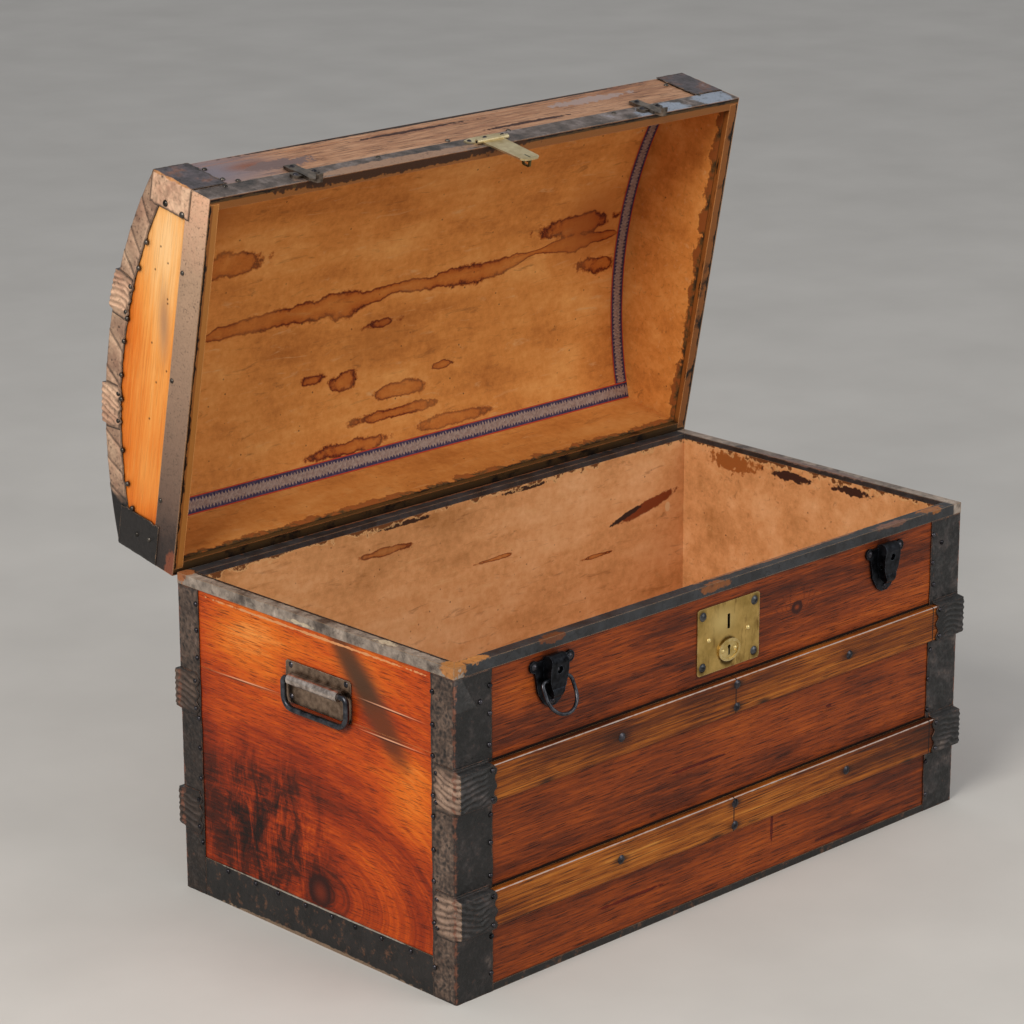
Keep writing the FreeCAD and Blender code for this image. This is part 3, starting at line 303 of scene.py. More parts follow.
left_end = wood("varnished_pine_left_end", FLAMED, (1.0, 0.09, 1.0),
                across=round_the_knot, ring=9.0, lines=0.34, gloss=0.34, pores=0.66,
                flame=((LEFT_END, 90.0, 110.0), (90.0, 170.0, 150.0), 1.35),
                # The first area, at the upper back, is lighter partly as a painted highlight of the
                # key light.
                tones=[((LEFT_END, 110.0, 345.0), (60.0, 110.0, 90.0), 0.24),
                       ((LEFT_END, -70.0, 370.0), (60.0, 190.0, 70.0), 0.14),
                       ((LEFT_END, -165.0, 240.0), (60.0, 80.0, 110.0), 0.17),
                       ((LEFT_END, 120.0, 110.0), (60.0, 150.0, 130.0), -0.20),
                       ((LEFT_END, 200.0, 180.0), (60.0, 50.0, 150.0), -0.12),
                       ((LEFT_END, 0.0, 190.0), (60.0, 120.0, 90.0), -0.09),
                       ((LEFT_END, -20.0, 70.0), (60.0, 90.0, 80.0), -0.12),
                       ((LEFT_END, -150.0, 80.0), (60.0, 80.0, 80.0), -0.08)],
                knots=[((LEFT_END, -7.0, 68.0), (40.0, 26.0, 28.0), -0.10)], marks=left_end_marks)
coat(left_end, "end_panel_left")

# The right end is varnished pine stained like the front, even and plain round one small knot.
right_end = wood("varnished_pine_right_end", PINE, (1.0, 0.07, 1.0), ring=9.0,
                 tones=[((-LEFT_END, -60.0, 300.0), (60.0, 160.0, 90.0), 0.10),
                        ((-LEFT_END, 90.0, 90.0), (60.0, 150.0, 70.0), -0.08)],
                 knots=[((-LEFT_END, 90.0, 190.0), (40.0, 14.0, 12.0), -0.25)])
coat(right_end, "end_panel_right")

# ---- Bottom boards
# Three pine boards under the case, tongued and grooved and nailed on from below. They are bare
# and dry, so they look grey brown and have no shine.
RAW = [(0.3, "#4A3426"), (0.5, "#7A5C40"), (0.75, "#9C7E58")]
bare_pine = wood("bare_pine", RAW, (0.06, 1.0, 1.0), gloss=0.75, worn="#A88860")
coat(bare_pine, "bottom_boards")

# ---- Case lining
# Tan paper pasted inside the case, torn along the rim and water marked. The paper is thin
# and unglazed, so it looks flat and dry, with specks, faint scratches and tide marks.


def long_stain(tree, point, course):
    """Distance across a long stain as a share of its half width; course gives x, middle y and half
    width in mm, packed into the 0 to 1 of a curve as -50 to 50."""
    axes = add(tree, "SeparateXYZ", {0: point})
    start, length = course[0][0], course[-1][0] - course[0][0]
    share = add(tree, "MapRange",
                {"Value": axes.outputs["X"], "From Min": start, "From Max": start + length})
    curves = []
    for column in (1, 2):
        curve = add(tree, "FloatCurve", {"Value": share})
        points = curve.mapping.curves[0].points
        while len(points) < len(course):
            points.new(0.5, 0.5)
        for place, row in zip(points, course):
            place.location = ((row[0] - start) / length, 0.5 + row[column] / 100)
            place.handle_type = "VECTOR"
        curve.mapping.update()
        curves.append(add(tree, "Math", {0: curve, 1: 100.0, 2: -50.0}, operation="MULTIPLY_ADD"))
    off = add(tree, "Math", {0: axes.outputs["Y"], 1: curves[0]}, operation="SUBTRACT")
    off = add(tree, "Math", {0: off}, operation="ABSOLUTE")
    return add(tree, "Math", {0: off, 1: curves[1]}, operation="DIVIDE")


def paper(name, place, stops, stains=(), course=None, patches=(), torn=None):
    """Old lining paper: specks 17 mm apart, stains by centre and size with a dark tide mark round
    them, one long stain along a course, and patches by centre, size, colour, raggedness and lean.
    torn adds what is left of it along the rim."""
    made, tree, shader = blank_material(name)
    point = place(tree)
    # Clouds of brown 100 mm across, bands 50 mm and mottling 10 mm; hair scratches 5 mm apart.
    cloudy = add(tree, "TexNoise",
                 {"Vector": point, "Scale": 0.010, "Detail": 6.0, "Roughness": 0.62})
    drawn = add(tree, "VectorMath", {0: point, 1: (0.25, 1.0, 1.0)}, operation="MULTIPLY")
    bands = add(tree, "TexNoise",
                {"Vector": drawn, "Scale": 0.02, "Detail": 5.0, "Roughness": 0.65})
    mottled = add(tree, "TexNoise",
                  {"Vector": point, "Scale": 0.10, "Detail": 5.0, "Roughness": 0.75})
    tone = add(tree, "Math", {0: bands, 1: 0.45}, operation="MULTIPLY")
    tone = add(tree, "Math", {0: cloudy, 1: 0.35, 2: tone}, operation="MULTIPLY_ADD")
    tone = add(tree, "Math", {0: mottled, 1: 0.30, 2: tone}, operation="MULTIPLY_ADD")
    tone = add(tree, "Math", {0: tone, 1: 0.05}, operation="SUBTRACT")
    base = add(tree, "ValToRGB", {0: tone}, stops=stops)
    hair = add(tree, "VectorMath", {0: point, 1: (0.10, 0.5, 0.5)}, operation="MULTIPLY")
    scratch = add(tree, "TexNoise", {"Vector": hair, "Scale": 0.20, "Detail": 6.0, "Roughness": 0.7,
                                     "Distortion": 0.8})
    scratched = add(tree, "MapRange",
                    {"Value": scratch, "From Min": 0.58, "From Max": 0.70, "To Max": 0.5})
    shade = add(tree, "Mix", {"Factor": scratched, "A": base, "B": colour("#7A4A24")},
                data_type="RGBA")
    rubbed = add(tree, "MapRange",
                 {"Value": scratch, "From Min": 0.41, "From Max": 0.30, "To Max": 0.5})
    shade = add(tree, "Mix", {"Factor": rubbed, "A": shade, "B": colour("#DDB27C")},
                data_type="RGBA")
    specks = add(tree, "TexVoronoi", {"Vector": point, "Scale": 0.06, "Randomness": 1.0})
    speck = add(tree, "MapRange",
                {"Value": specks.outputs["Distance"], "From Min": 0.095, "From Max": 0.04})
    some = add(tree, "MapRange",
               {"Value": mottled, "From Min": 0.42, "From Max": 0.55, "To Max": 0.9})
    speck = add(tree, "Math", {0: speck, 1: some}, operation="MULTIPLY")
    shade = add(tree, "Mix", {"Factor": speck, "A": shade, "B": colour("#4A2814")},
                data_type="RGBA")
    for centre, size, code, rag, lean in patches:
        shade = patch(tree, point, shade, centre, size, code, ragged=rag, lean=lean, axis="Y_AXIS")
    ragged = add(tree, "TexNoise",
                 {"Vector": point, "Scale": 0.035, "Detail": 6.0, "Roughness": 0.68})
    slow = add(tree, "TexNoise", {"Vector": point, "Scale": 0.011, "Detail": 1.0})
    field = long_stain(tree, point, course) if course else None
    for centre, size in stains:
        length = reach(tree, point, centre, size)
        field = length if field is None else add(tree, "Math", {0: field, 1: length, 2: 0.15},
                                                 operation="SMOOTH_MIN").outputs[0]
    if field is not None:
        rough_edge = add(tree, "Math", {0: ragged, 1: 2.2, 2: -1.1}, operation="MULTIPLY_ADD")
        rough_edge = add(tree, "Math", {0: slow, 1: 0.9, 2: rough_edge}, operation="MULTIPLY_ADD")
        rough_edge = add(tree, "Math", {0: rough_edge, 1: 0.5}, operation="SUBTRACT")
        field = add(tree, "Math", {0: field, 1: rough_edge}, operation="ADD")
        tide = add(tree, "ValToRGB", {0: field},
                   stops=[(0.0, "#E4CCA8"), (0.52, "#D8B486"), (0.72, "#966034"), (0.80, "#522A14"),
                          (0.87, "#C09468"), (1.0, "#FFFFFF")])
        strong = add(tree, "MapRange",
                     {"Value": slow, "From Min": 0.34, "From Max": 0.54, "To Min": 0.66})
        shade = add(tree, "Mix", {"Factor": strong, "A": shade, "B": tide}, data_type="RGBA",
                    blend_type="MULTIPLY")
    if torn:
        shade = torn(tree, point, ragged, shade)
    tree.links.new(shade.outputs[2], shader.inputs["Base Color"])
    shader.inputs["Roughness"].default_value = 0.72
    shader.inputs["Specular IOR Level"].default_value = 0.3
    grain = add(tree, "TexNoise", {"Vector": point, "Scale": 0.35, "Detail": 4.0})
    creased = add(tree, "Math", {0: scratch, 1: 2.0, 2: grain}, operation="MULTIPLY_ADD")
    relief = add(tree, "Bump", {"Height": creased, "Strength": 0.3, "Distance": 0.0004})
    tree.links.new(relief.outputs[0], shader.inputs["Normal"])
    return made


def torn_at_rim(tree, point, ragged, shade):
    """Above a ragged line just under the rim the paper has gone: pale torn edge, then dark wood."""
    height = add(tree, "SeparateXYZ", {0: point}).outputs["Z"]
    line = add(tree, "Math", {0: ragged, 1: 56.0, 2: height}, operation="MULTIPLY_ADD")
    core = add(tree, "MapRange",
               {"Value": line, "From Min": 411.0, "From Max": 412.0, "To Max": 0.7})
    shade = add(tree, "Mix", {"Factor": core, "A": shade, "B": colour("#D9AE78")}, data_type="RGBA")
    gone = add(tree, "MapRange", {"Value": line, "From Min": 413.5, "From Max": 415.0})
    return add(tree, "Mix", {"Factor": gone, "A": shade, "B": colour("#6E4220")}, data_type="RGBA")


BACK_PAPER = 219.0               # face of the paper on the back board
RIGHT_PAPER = 416.0              # and on the right end

# Unglazed paper, gone the tan of old glue, darker where damp has been.
TAN = [(0.34, "#AE7844"), (0.5, "#D69C66"), (0.64, "#E8B684")]
case_paper = paper("lining_paper_case", case_point, TAN,
                   stains=[((-120.0, BACK_PAPER, 352.0), (46.0, 30.0, 5.0)),
                           ((60.0, BACK_PAPER, 300.0), (40.0, 30.0, 3.0)),
                           ((250.0, BACK_PAPER, 262.0), (30.0, 30.0, 3.0))],
                   patches=[((344.0, BACK_PAPER, 309.0), (72.0, 30.0, 10.0), "#7E3A18", 0.9, -11.0),
                            ((306.0, BACK_PAPER, 305.0), (38.0, 30.0, 5.0), "#33201A", 1.3, -15.0),
                            ((384.0, BACK_PAPER, 300.0), (6.0, 30.0, 9.0), "#DDB98C", 0.4, 0.0),
                            ((-90.0, BACK_PAPER, 381.0), (60.0, 30.0, 4.0), "#3A2214", 1.4, 0.0),
                            ((120.0, BACK_PAPER, 382.0), (50.0, 30.0, 4.0), "#3A2214", 1.4, 0.0),
                            ((RIGHT_PAPER, 130.0, 372.0), (30.0, 50.0, 17.0), "#9A5A26", 2.2, 0.0),
                            ((RIGHT_PAPER, 30.0, 374.0), (30.0, 46.0, 8.0), "#3A2016", 1.7, 0.0),
                            ((RIGHT_PAPER, -70.0, 376.0), (30.0, 40.0, 7.0), "#3A2016", 1.7, 0.0),
                            ((RIGHT_PAPER, -85.0, 300.0), (30.0, 13.0, 17.0), "#AE7034", 1.2, 0.0)],
                   torn=torn_at_rim)
coat(case_paper, "box_lining")

# ---- Sheet iron on the case
# Corner irons, rim bindings and bottom bands of thin sheet iron, pressed with a crinkled
# pattern and black japanned, worn to grey brown on the ends and to copper along the edges.


def iron(name, dark, light, marks, place=case_point, worn="#8A5030", pebble=3.2, glint=2.4,
         pressed=False, sink=0.66, bare_and_highlight_grey=0.0):
    """Japanned sheet iron: pebble is the size of its fine pitting in mm, glint how much paler its
    tops are, rubbed and with a painted highlight, bared adds plain grey to them and sink is how
    dark its hollows are, japan left there and painted shade. A pressed piece has its ridges in the
    mesh and in its worn attribute."""
    made, tree, shader = blank_material(name)
    point = place(tree)
    cloudy = add(tree, "TexNoise",
                 {"Vector": point, "Scale": 0.03, "Detail": 6.0, "Roughness": 0.65})
    base = add(tree, "ValToRGB", {0: cloudy}, stops=[(0.36, dark), (0.66, light)])
    crumple = add(tree, "TexNoise", {"Vector": point, "Scale": 0.5 / pebble, "Detail": 4.0,
                                     "Roughness": 0.6, "Distortion": 1.4})
    pebbles = add(tree, "TexVoronoi", {"Vector": point, "Scale": 1 / pebble}, feature="SMOOTH_F1")
    height = add(tree, "Math", {0: pebbles.outputs["Distance"], 1: 0.35, 2: crumple},
                 operation="MULTIPLY_ADD")
    base = marks(tree, point, base, cloudy)
    pale = add(tree, "VectorMath", {0: base, 1: (glint,) * 3, 2: (bare_and_highlight_grey,) * 3},
               operation="MULTIPLY_ADD")
    lit = add(tree, "MapRange", {"Value": height, "From Min": 0.68, "From Max": 0.88,
                                 "To Max": 0.4 if pressed else 0.35})
    sunk = add(tree, "MapRange", {"Value": height, "From Min": 0.58, "From Max": 0.44,
                                  "To Max": 0.45 if pressed else 0.5})
    if pressed:
        tops = add(tree, "Attribute", attribute_name="worn").outputs["Fac"]
        lit_top = add(tree, "MapRange",
                      {"Value": tops, "From Min": 0.50, "From Max": 0.95, "To Max": 0.62})
        lit = add(tree, "Math", {0: lit, 1: lit_top}, operation="ADD", use_clamp=True)
        low = add(tree, "MapRange",
                  {"Value": tops, "From Min": 0.42, "From Max": 0.05, "To Max": sink})
        sunk = add(tree, "Math", {0: sunk, 1: low}, operation="ADD", use_clamp=True)
    # Painted highlight and shade as well as wear: tops mixed toward the paler colour, hollows
    # darkened.
    tinted = add(tree, "Mix", {"Factor": lit, "A": base, "B": pale}, data_type="RGBA")
    tinted = add(tree, "Mix", {"Factor": sunk, "A": tinted, "B": colour("#1C1614")},
                 data_type="RGBA", blend_type="MULTIPLY")
    wear = edge_wear(tree, 0.0016, 1.0)
    rubbed = add(tree, "Mix", {"Factor": wear, "A": tinted, "B": colour(worn)}, data_type="RGBA")
    tree.links.new(rubbed.outputs[2], shader.inputs["Base Color"])
    bright = add(tree, "Math", {0: wear, 1: 0.4}, operation="MULTIPLY")
    tree.links.new(bright.outputs[0], shader.inputs["Metallic"])
    rough = add(tree, "MapRange", {"Value": cloudy, "To Min": 0.38, "To Max": 0.66})
    tree.links.new(rough.outputs[0], shader.inputs["Roughness"])
    relief = add(tree, "Bump", {"Height": height, "Strength": 0.8, "Distance": 0.0009})
    tree.links.new(relief.outputs[0], shader.inputs["Normal"])
    return made


def outside(tree, point, axis, edge, soft=1.0):
    """1 where the point lies further from the middle than edge, along one axis, in mm."""
    value = add(tree, "SeparateXYZ", {0: point}).outputs[axis]
    value = add(tree, "Math", {0: value}, operation="ABSOLUTE")
    return add(tree, "MapRange",
               {"Value": value, "From Min": edge - soft / 2, "From Max": edge + soft / 2})


def dark_rim(tree, shade):
    """Blacker where the piece's own edge attribute says that the sheet ends: painted shade."""
    rim = add(tree, "Attribute", attribute_name="edge").outputs["Fac"]
    rim = add(tree, "Math", {0: rim, 1: 0.9}, operation="MULTIPLY")
    return add(tree, "Mix", {"Factor": rim, "A": shade, "B": colour("#080707")}, data_type="RGBA")


CASE_END = 430.8                 # outer side of flat sheet iron on the case's ends
CASE_FACE = 233.3                # and on its front and back


def corner_colours(tree, point, base, cloudy):
    """Brown grey on the end legs, blacker low at the back, bluish black on the front legs, coppery
    along the bend and in chips 8 mm across."""
    leg = outside(tree, point, "X", CASE_END + 0.3, 0.6)
    front = add(tree, "ValToRGB", {0: cloudy},
                stops=[(0.38, "#050505"), (0.50, "#151314"), (0.60, "#383130"), (0.70, "#64574F")])
    shade = add(tree, "Mix", {"Factor": leg, "A": front, "B": base}, data_type="RGBA")
    axes = add(tree, "SeparateXYZ", {0: point})
    behind = add(tree, "MapRange",
                 {"Value": axes.outputs["Y"], "From Min": 60.0, "From Max": 190.0})
    low = add(tree, "MapRange",
              {"Value": axes.outputs["Z"], "From Min": 350.0, "From Max": 200.0, "To Min": 0.3})
    low = add(tree, "Math", {0: behind, 1: low}, operation="MULTIPLY")
    shade = add(tree, "Mix", {"Factor": low, "A": shade, "B": colour("#6E6864")},
                data_type="RGBA", blend_type="MULTIPLY")
    chips = add(tree, "TexNoise", {"Vector": point, "Scale": 0.12, "Detail": 4.0, "Roughness": 0.7})
    gone = add(tree, "MapRange",
               {"Value": chips, "From Min": 0.62, "From Max": 0.68, "To Max": 0.6})
    shade = add(tree, "Mix", {"Factor": gone, "A": shade, "B": colour("#5A3626")}, data_type="RGBA")
    for x in (-1, 1):
        for y in (-1, 1):
            bend = reach(tree, point, (x * 431.5, y * 234.0, 200.0), (4.5, 4.5, 4000.0))
            bend = add(tree, "Math", {0: chips, 1: 5.0, 2: bend}, operation="MULTIPLY_ADD")
            bend = add(tree, "MapRange",
                       {"Value": bend, "From Min": 3.2, "From Max": 2.7, "To Max": 0.8})
            shade = add(tree, "Mix", {"Factor": bend, "A": shade, "B": colour("#7C4A34")},
                        data_type="RGBA")
    return dark_rim(tree, shade)


# Bare wood, rust and rubbed spots on the rim binding: x, y, z, size and colour.
RIM_PATCHES = [(-424.0, -224.0, 393.0, (20.0, 20.0, 16.0), "#A8703A"),
               (-396.0, -226.0, 396.0, (30.0, 12.0, 7.0), "#B0743C"),
               (-280.0, -233.0, 392.0, (24.0, 12.0, 7.0), "#663410"),
               (-16.0, -233.0, 390.0, (30.0, 10.0, 8.0), "#80481A"),
               (380.0, -226.0, 394.0, (26.0, 12.0, 8.0), "#8E5622"),
               (300.0, -230.0, 394.0, (40.0, 9.0, 5.0), "#6E4A3A"),
               (-424.0, 226.0, 392.0, (14.0, 14.0, 12.0), "#985C34"),
               (418.0, 0.0, 396.0, (9.0, 150.0, 5.0), "#6E5A54"),
               (-424.0, 20.0, 384.0, (12.0, 36.0, 3.0), "#B8A890"),
               (-424.0, -120.0, 392.0, (8.0, 24.0, 4.0), "#B8A890"),
               (0.0, 233.0, 393.0, (420.0, 4.0, 2.5), "#7A4526"),
               (120.0, -219.0, 394.0, (200.0, 4.0, 2.5), "#8E5A34")]


def rim_marks(tree, point, base, cloudy):
    """The binding's ends are rubbed to pale grey tan; bare wood and rust show at its corners."""
    leg = outside(tree, point, "X", 416.5)
    pale = add(tree, "ValToRGB", {0: cloudy},
               stops=[(0.36, "#463C36"), (0.48, "#7E7268"), (0.60, "#9C8E82"), (0.72, "#B8ACA0")])
    shade = add(tree, "Mix", {"Factor": leg, "A": base, "B": pale}, data_type="RGBA")
    shade = patch(tree, point, shade, (-415.5, 0.0, 397.0), (5.0, 3000.0, 9.0), "#1E1B1A",
                  ragged=1.3)
    for x, y, z, size, code in RIM_PATCHES:
        shade = patch(tree, point, shade, (x, y, z), size, code, ragged=1.7)
    return shade


# Japanned iron round the rim, smooth and bluish black, its ends rubbed down to dull grey metal.
rim_iron = iron("japanned_rim_iron", "#17181B", "#34363A", rim_marks, worn="#A08468", pebble=6.0,
                glint=1.8)
coat(rim_iron, "rim_binding_front", "rim_binding_back", "rim_binding_left", "rim_binding_right")


def bottom_marks(tree, point, base, cloudy):
    """Rust brown scuffs 14 mm across, and a line rubbed along both edges of the end bands; the pale
    top one is partly a painted highlight.
    """
    scuffs = add(tree, "TexNoise",
                 {"Vector": point, "Scale": 0.07, "Detail": 6.0, "Roughness": 0.75})
    scuffed = add(tree, "MapRange",
                  {"Value": scuffs, "From Min": 0.56, "From Max": 0.66, "To Max": 0.8})
    shade = add(tree, "Mix", {"Factor": scuffed, "A": base, "B": colour("#6A4630")},
                data_type="RGBA")
    for side in (-1, 1):
        # The top line is partly a painted highlight along the band's upper edge.
        shade = patch(tree, point, shade, (431.0 * side, 0.0, 47.4), (4.0, 205.0, 1.5), "#9A938A",
                      ragged=0.9)
        shade = patch(tree, point, shade, (431.0 * side, 0.0, 1.0), (4.0, 205.0, 4.0), "#7A6450",
                      ragged=1.4)
    return shade


# Japanned iron round the foot, still black and half matt, scuffed to rust where it meets the floor.
bottom_iron = iron("japanned_bottom_iron", "#090808", "#221F1E", bottom_marks, worn="#8A7460",
                   pebble=6.0, glint=1.8)
coat(bottom_iron, "bottom_bindings", "bottom_band_left", "bottom_band_right")

# Japanned iron pressed into crinkles: black in the hollows, worn to pale brown metal on the tops;
# the hollows also carry painted shade and the tops a painted highlight.
case_iron = iron("japanned_corner_iron", "#5A4438", "#A0836F", corner_colours, worn="#8A5A40",
                 glint=1.15, pressed=True, bare_and_highlight_grey=0.038)


def piece(name, bm, made, body, skin=0.0):
    """An object from a bmesh in millimetres, riding on a body and finished like a record's slot;
    a sheet gets its thickness, skin, on its inner side."""
    bmesh.ops.scale(bm, vec=(0.001, 0.001, 0.001), verts=bm.verts)
    for face in bm.faces:
        face.smooth = True
    mesh = bpy.data.meshes.new(name)
    bm.to_mesh(mesh)
    bm.free()
    mesh.materials.append(made)
    obj = bpy.data.objects.new(name, mesh)
    bpy.context.scene.collection.objects.link(obj)
    if skin:
        wall = obj.modifiers.new("thickness", "SOLIDIFY")
        wall.thickness = skin / 1000
        wall.offset = -1.0
    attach(obj, body)
    return obj


def crinkle(point, size):
    """Height, about -0.5 to 0.5, of a sheet pressed with wandering folds of one size in mm."""
    folds = 0.6 - 2.2 * abs(noise.noise(point / size))
    return 0.6 * folds + 0.5 * noise.noise(point / (0.45 * size))


CORNER = 0.8                     # radius of every bend in the sheet
# The dark along a sheet's edges and seams is painted shade.
EDGE_DARK = 3.2                  # how far its dark edges reach in


def bent_sheet(bm, at, behind, ahead, half, steps, relief, rise=None, tails=None, seams=None):
    """One sheet bent over a corner. at(e, o, t) gives a point: e inward from the end face, o
    outward from the long face, t along the corner, in mm. behind and ahead are the lengths of its
    two legs and half is half its length along the corner. relief(s, t) is its pressed pattern,
    rise(t) lifts the long leg over a slat, tails(t) lengthens both legs' ragged ends, and
    seams(s, t) says where it is dark besides its own edges; s runs from -behind to ahead."""
    edge = bm.verts.layers.float.get("edge") or bm.verts.layers.float.new("edge")
    worn = bm.verts.layers.float.get("worn") or bm.verts.layers.float.new("worn")
    across, up = steps
    first = len(bm.faces)
    made = bmesh.ops.create_grid(bm, x_segments=across, y_segments=up, size=1.0)["verts"]
    bend = behind / (behind + ahead)
    for vert in made:
        p, q = (vert.co.x + 1) / 2, vert.co.y
        s, t = -behind + p * (behind + ahead), half * q
        high = rise(t) if rise else 0.0
        tail = tails(t) if tails else (0.0, 0.0)
        lift = relief(s, t)
        if p < bend:
            e, o = -lift, -behind - tail[0] + (p / bend) * (behind + tail[0] + high)
        else:
            k = (p - bend) / (1 - bend)
            e, o = k * (ahead + tail[1]) - CORNER * (1 - k), high + lift
        near = max(0.0, 1 - abs(p - bend) / 0.025)
        lap = min(p * (behind + ahead), (1 - p) * (behind + ahead), (1 - abs(q)) * half)
        # The edge attribute carries painted shade along the sheet's edges and seams.
        vert[edge] = max(0.0, 1 - (lap / EDGE_DARK) ** 2, seams(s, t) if seams else 0.0)
        vert[worn] = lift
        vert.co = at(e + CORNER * near, o - CORNER * near, t)
    low, high = min(v[worn] for v in made), max(v[worn] for v in made)
    for vert in made:
        vert[worn] = (vert[worn] - low) / (high - low)
    faces = bm.faces[:][first:]
    bm.normal_update()
    face = faces[-1]
    if face.normal.dot(at(0, 1, 0) - at(0, 0, 0)) + face.normal.dot(at(-1, 0, 0) - at(0, 0, 0)) < 0:
        bmesh.ops.reverse_faces(bm, faces=faces)


def case_corner(side, face, height):
    """Turns (inward, outward, along) at one corner of the case into a point in mm."""
    return lambda e, o, t: Vector((side * (CASE_END - e), face * (CASE_FACE + o), height + t))


FLAP_FOOT = 152.0                # lower end of the rim binding's flap, from the iron's middle


def flap_edge(t):
    """How far from the bend the flap reaches at height t; it is cut on the slant."""
    return 6.0 + (200.0 - t) * 0.58


def corner_relief(side, face):
    """Crinkled all over; the front leg is smoother, with the rim's flap lapped over its top."""
    def relief(s, t):
        spot_at = Vector((s, t, 40.0 * side + 15.0 * face))
        height = 0.25 + (0.34 * crinkle(spot_at, 6.0) if s < 0 else
                         0.32 * crinkle(spot_at, 13.0) + 0.22 * crinkle(spot_at, 5.0))
        if side < 0 and face < 0 and s > 0 and t > FLAP_FOOT and s < flap_edge(t):
            height += 0.7
        return max(0.0, height)
    return relief


def flap_line(side, face):
    """1 along the cut edge of that flap, where a painted shadow line runs."""
    def seams(s, t):
        if side > 0 or face > 0 or s < 0 or t < FLAP_FOOT:
            return 0.0
        return max(0.0, 1 - (0.86 * (s - flap_edge(t)) / 1.9) ** 2)
    return seams


def wavy(seed, depth):
    """Unevenly cut ends of both legs, in waves of 26 mm."""
    return lambda t: (depth * noise.noise(Vector((t / 26, seed, 0.0))),
                      depth * noise.noise(Vector((t / 26, 9.0, seed))))


IRON_HALF = 190.5                # half the height of a corner iron


def corner_iron(name, corners, steps, node):
    """Corner irons of one name, with legs 36.8 mm wide on the end and 56 mm on the long face."""
    bm = bmesh.new()
    for side, face in corners:
        bent_sheet(bm, case_corner(side, face, IRON_HALF), 36.8, 56.0, IRON_HALF, steps,
                   corner_relief(side, face), tails=wavy(side + 2.0 * face, 1.2),
                   seams=flap_line(side, face))
    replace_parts(piece(name, bm, case_iron, "case", skin=0.6), node)


corner_iron("crinkled_corner_iron_left", [(-1, -1)], (60, 240), "corner_iron_front_left")
corner_iron("crinkled_corner_iron_right", [(1, -1)], (60, 240), "corner_iron_front_right")
corner_iron("crinkled_corner_irons_back", [(-1, 1), (1, 1)], (42, 170), "corner_irons_back")


def nail_heads(places, radius, height):
    """Domed nail heads, turned in one go; places are (point, outward direction), in millimetres."""
    head = bmesh.new()
    outline = [(0.0, -0.4), (1.0, -0.4), (1.0, 0.15), (0.8, 0.62), (0.42, 0.92), (0.0, 1.0)]
    verts = [head.verts.new((radius * r, 0.0, height * h)) for r, h in outline]
    edges = [head.edges.new(pair) for pair in zip(verts, verts[1:])]
    bmesh.ops.spin(head, geom=verts + edges, cent=(0, 0, 0), axis=(0, 0, 1), angle=math.tau,
                   steps=9, use_merge=True)
    bmesh.ops.remove_doubles(head, verts=head.verts, dist=1e-4)
    bmesh.ops.recalc_face_normals(head, faces=head.faces)
    pattern = bpy.data.meshes.new("nail_head")
    head.to_mesh(pattern)
    head.free()
    bm = bmesh.new()
    for point, out in places:
        first = len(bm.verts)
        bm.from_mesh(pattern)
        bm.verts.ensure_lookup_table()
        turn = Vector(out).to_track_quat("Z", "Y").to_matrix().to_4x4()
        bmesh.ops.transform(bm, matrix=Matrix.Translation(point) @ turn, verts=bm.verts[first:])
    bpy.data.meshes.remove(pattern)
    return bm


def metal(name, dark, light, rough, place=case_point, scale=0.12, worn=None, marks=None):
    """Solid metal with darker and lighter patches, 1 / scale mm across; worn is the colour of its
    rubbed edges."""
    made, tree, shader = blank_material(name)
    point = place(tree)
    cloudy = add(tree, "TexNoise",
                 {"Vector": point, "Scale": scale, "Detail": 5.0, "Roughness": 0.6})
    base = add(tree, "ValToRGB", {0: cloudy}, stops=[(0.32, dark), (0.68, light)])
    if marks:
        base = marks(tree, point, base)
    if worn:
        base = add(tree, "Mix", {"Factor": edge_wear(tree, 0.0009, 1.2), "A": base,
                                 "B": colour(worn)}, data_type="RGBA")
    tree.links.new(next(s for s in base.outputs if s.enabled), shader.inputs["Base Color"])
    shader.inputs["Metallic"].default_value = 1.0
    patchy = add(tree, "MapRange", {"Value": cloudy, "To Min": rough - 0.1, "To Max": rough + 0.15})
    tree.links.new(patchy.outputs[0], shader.inputs["Roughness"])
    relief = add(tree, "Bump", {"Height": cloudy, "Strength": 0.3, "Distance": 0.0004})
    tree.links.new(relief.outputs[0], shader.inputs["Normal"])
    return made


# Blued steel: near black, with a small sharp highlight on each dome.
nail_steel = metal("blued_nail_steel", "#151517", "#56545A", 0.30)

# Small domed nails run down both edges of every band, unevenly spaced as they were driven. These
# are the heights, and low on the end the depths, of those on the left and in front.
rng = random.Random(11)
FRONT_FACE = -233.9              # where the nails sit on the iron
LEFT_FACE = -431.5
end_front = [360, 322, 286, 240, 215, 176, 139, 89, 36]
end_back = [363, 331, 297, 222, 185, 147, 66]
end_low = [-160, -111, -67, -27, 18, 66, 106, 156]
front_side = [362, 330, 294, 212, 179, 140, 67, 23]
places = [((LEFT_FACE, -199.5, z), (-1, 0, 0)) for z in end_front]
places += [((LEFT_FACE, 200.5, z), (-1, 0, 0)) for z in end_back]
places += [((LEFT_FACE + 0.7, y, 42.0), (-1, 0, 0)) for y in end_low]
places += [((-376.0 - rng.uniform(0.5, 3.5), FRONT_FACE, z), (0, -1, 0)) for z in front_side]
places += [((-393.0, FRONT_FACE - 0.7, 347.0), (0, -1, 0))]
right = [((-x, y, z + rng.uniform(-5, 5)), (1, 0, 0)) for (x, y, z), out in places if out[0]]
far = [((-x + rng.uniform(-2, 2), FRONT_FACE, z + rng.uniform(-5, 5)), (0, -1, 0))
       for (x, _, z), out in places if out[1]]
rear = [((side * 377.0, -FRONT_FACE, z + rng.uniform(-6, 6)), (0, 1, 0))
        for side in (-1, 1) for z in front_side]
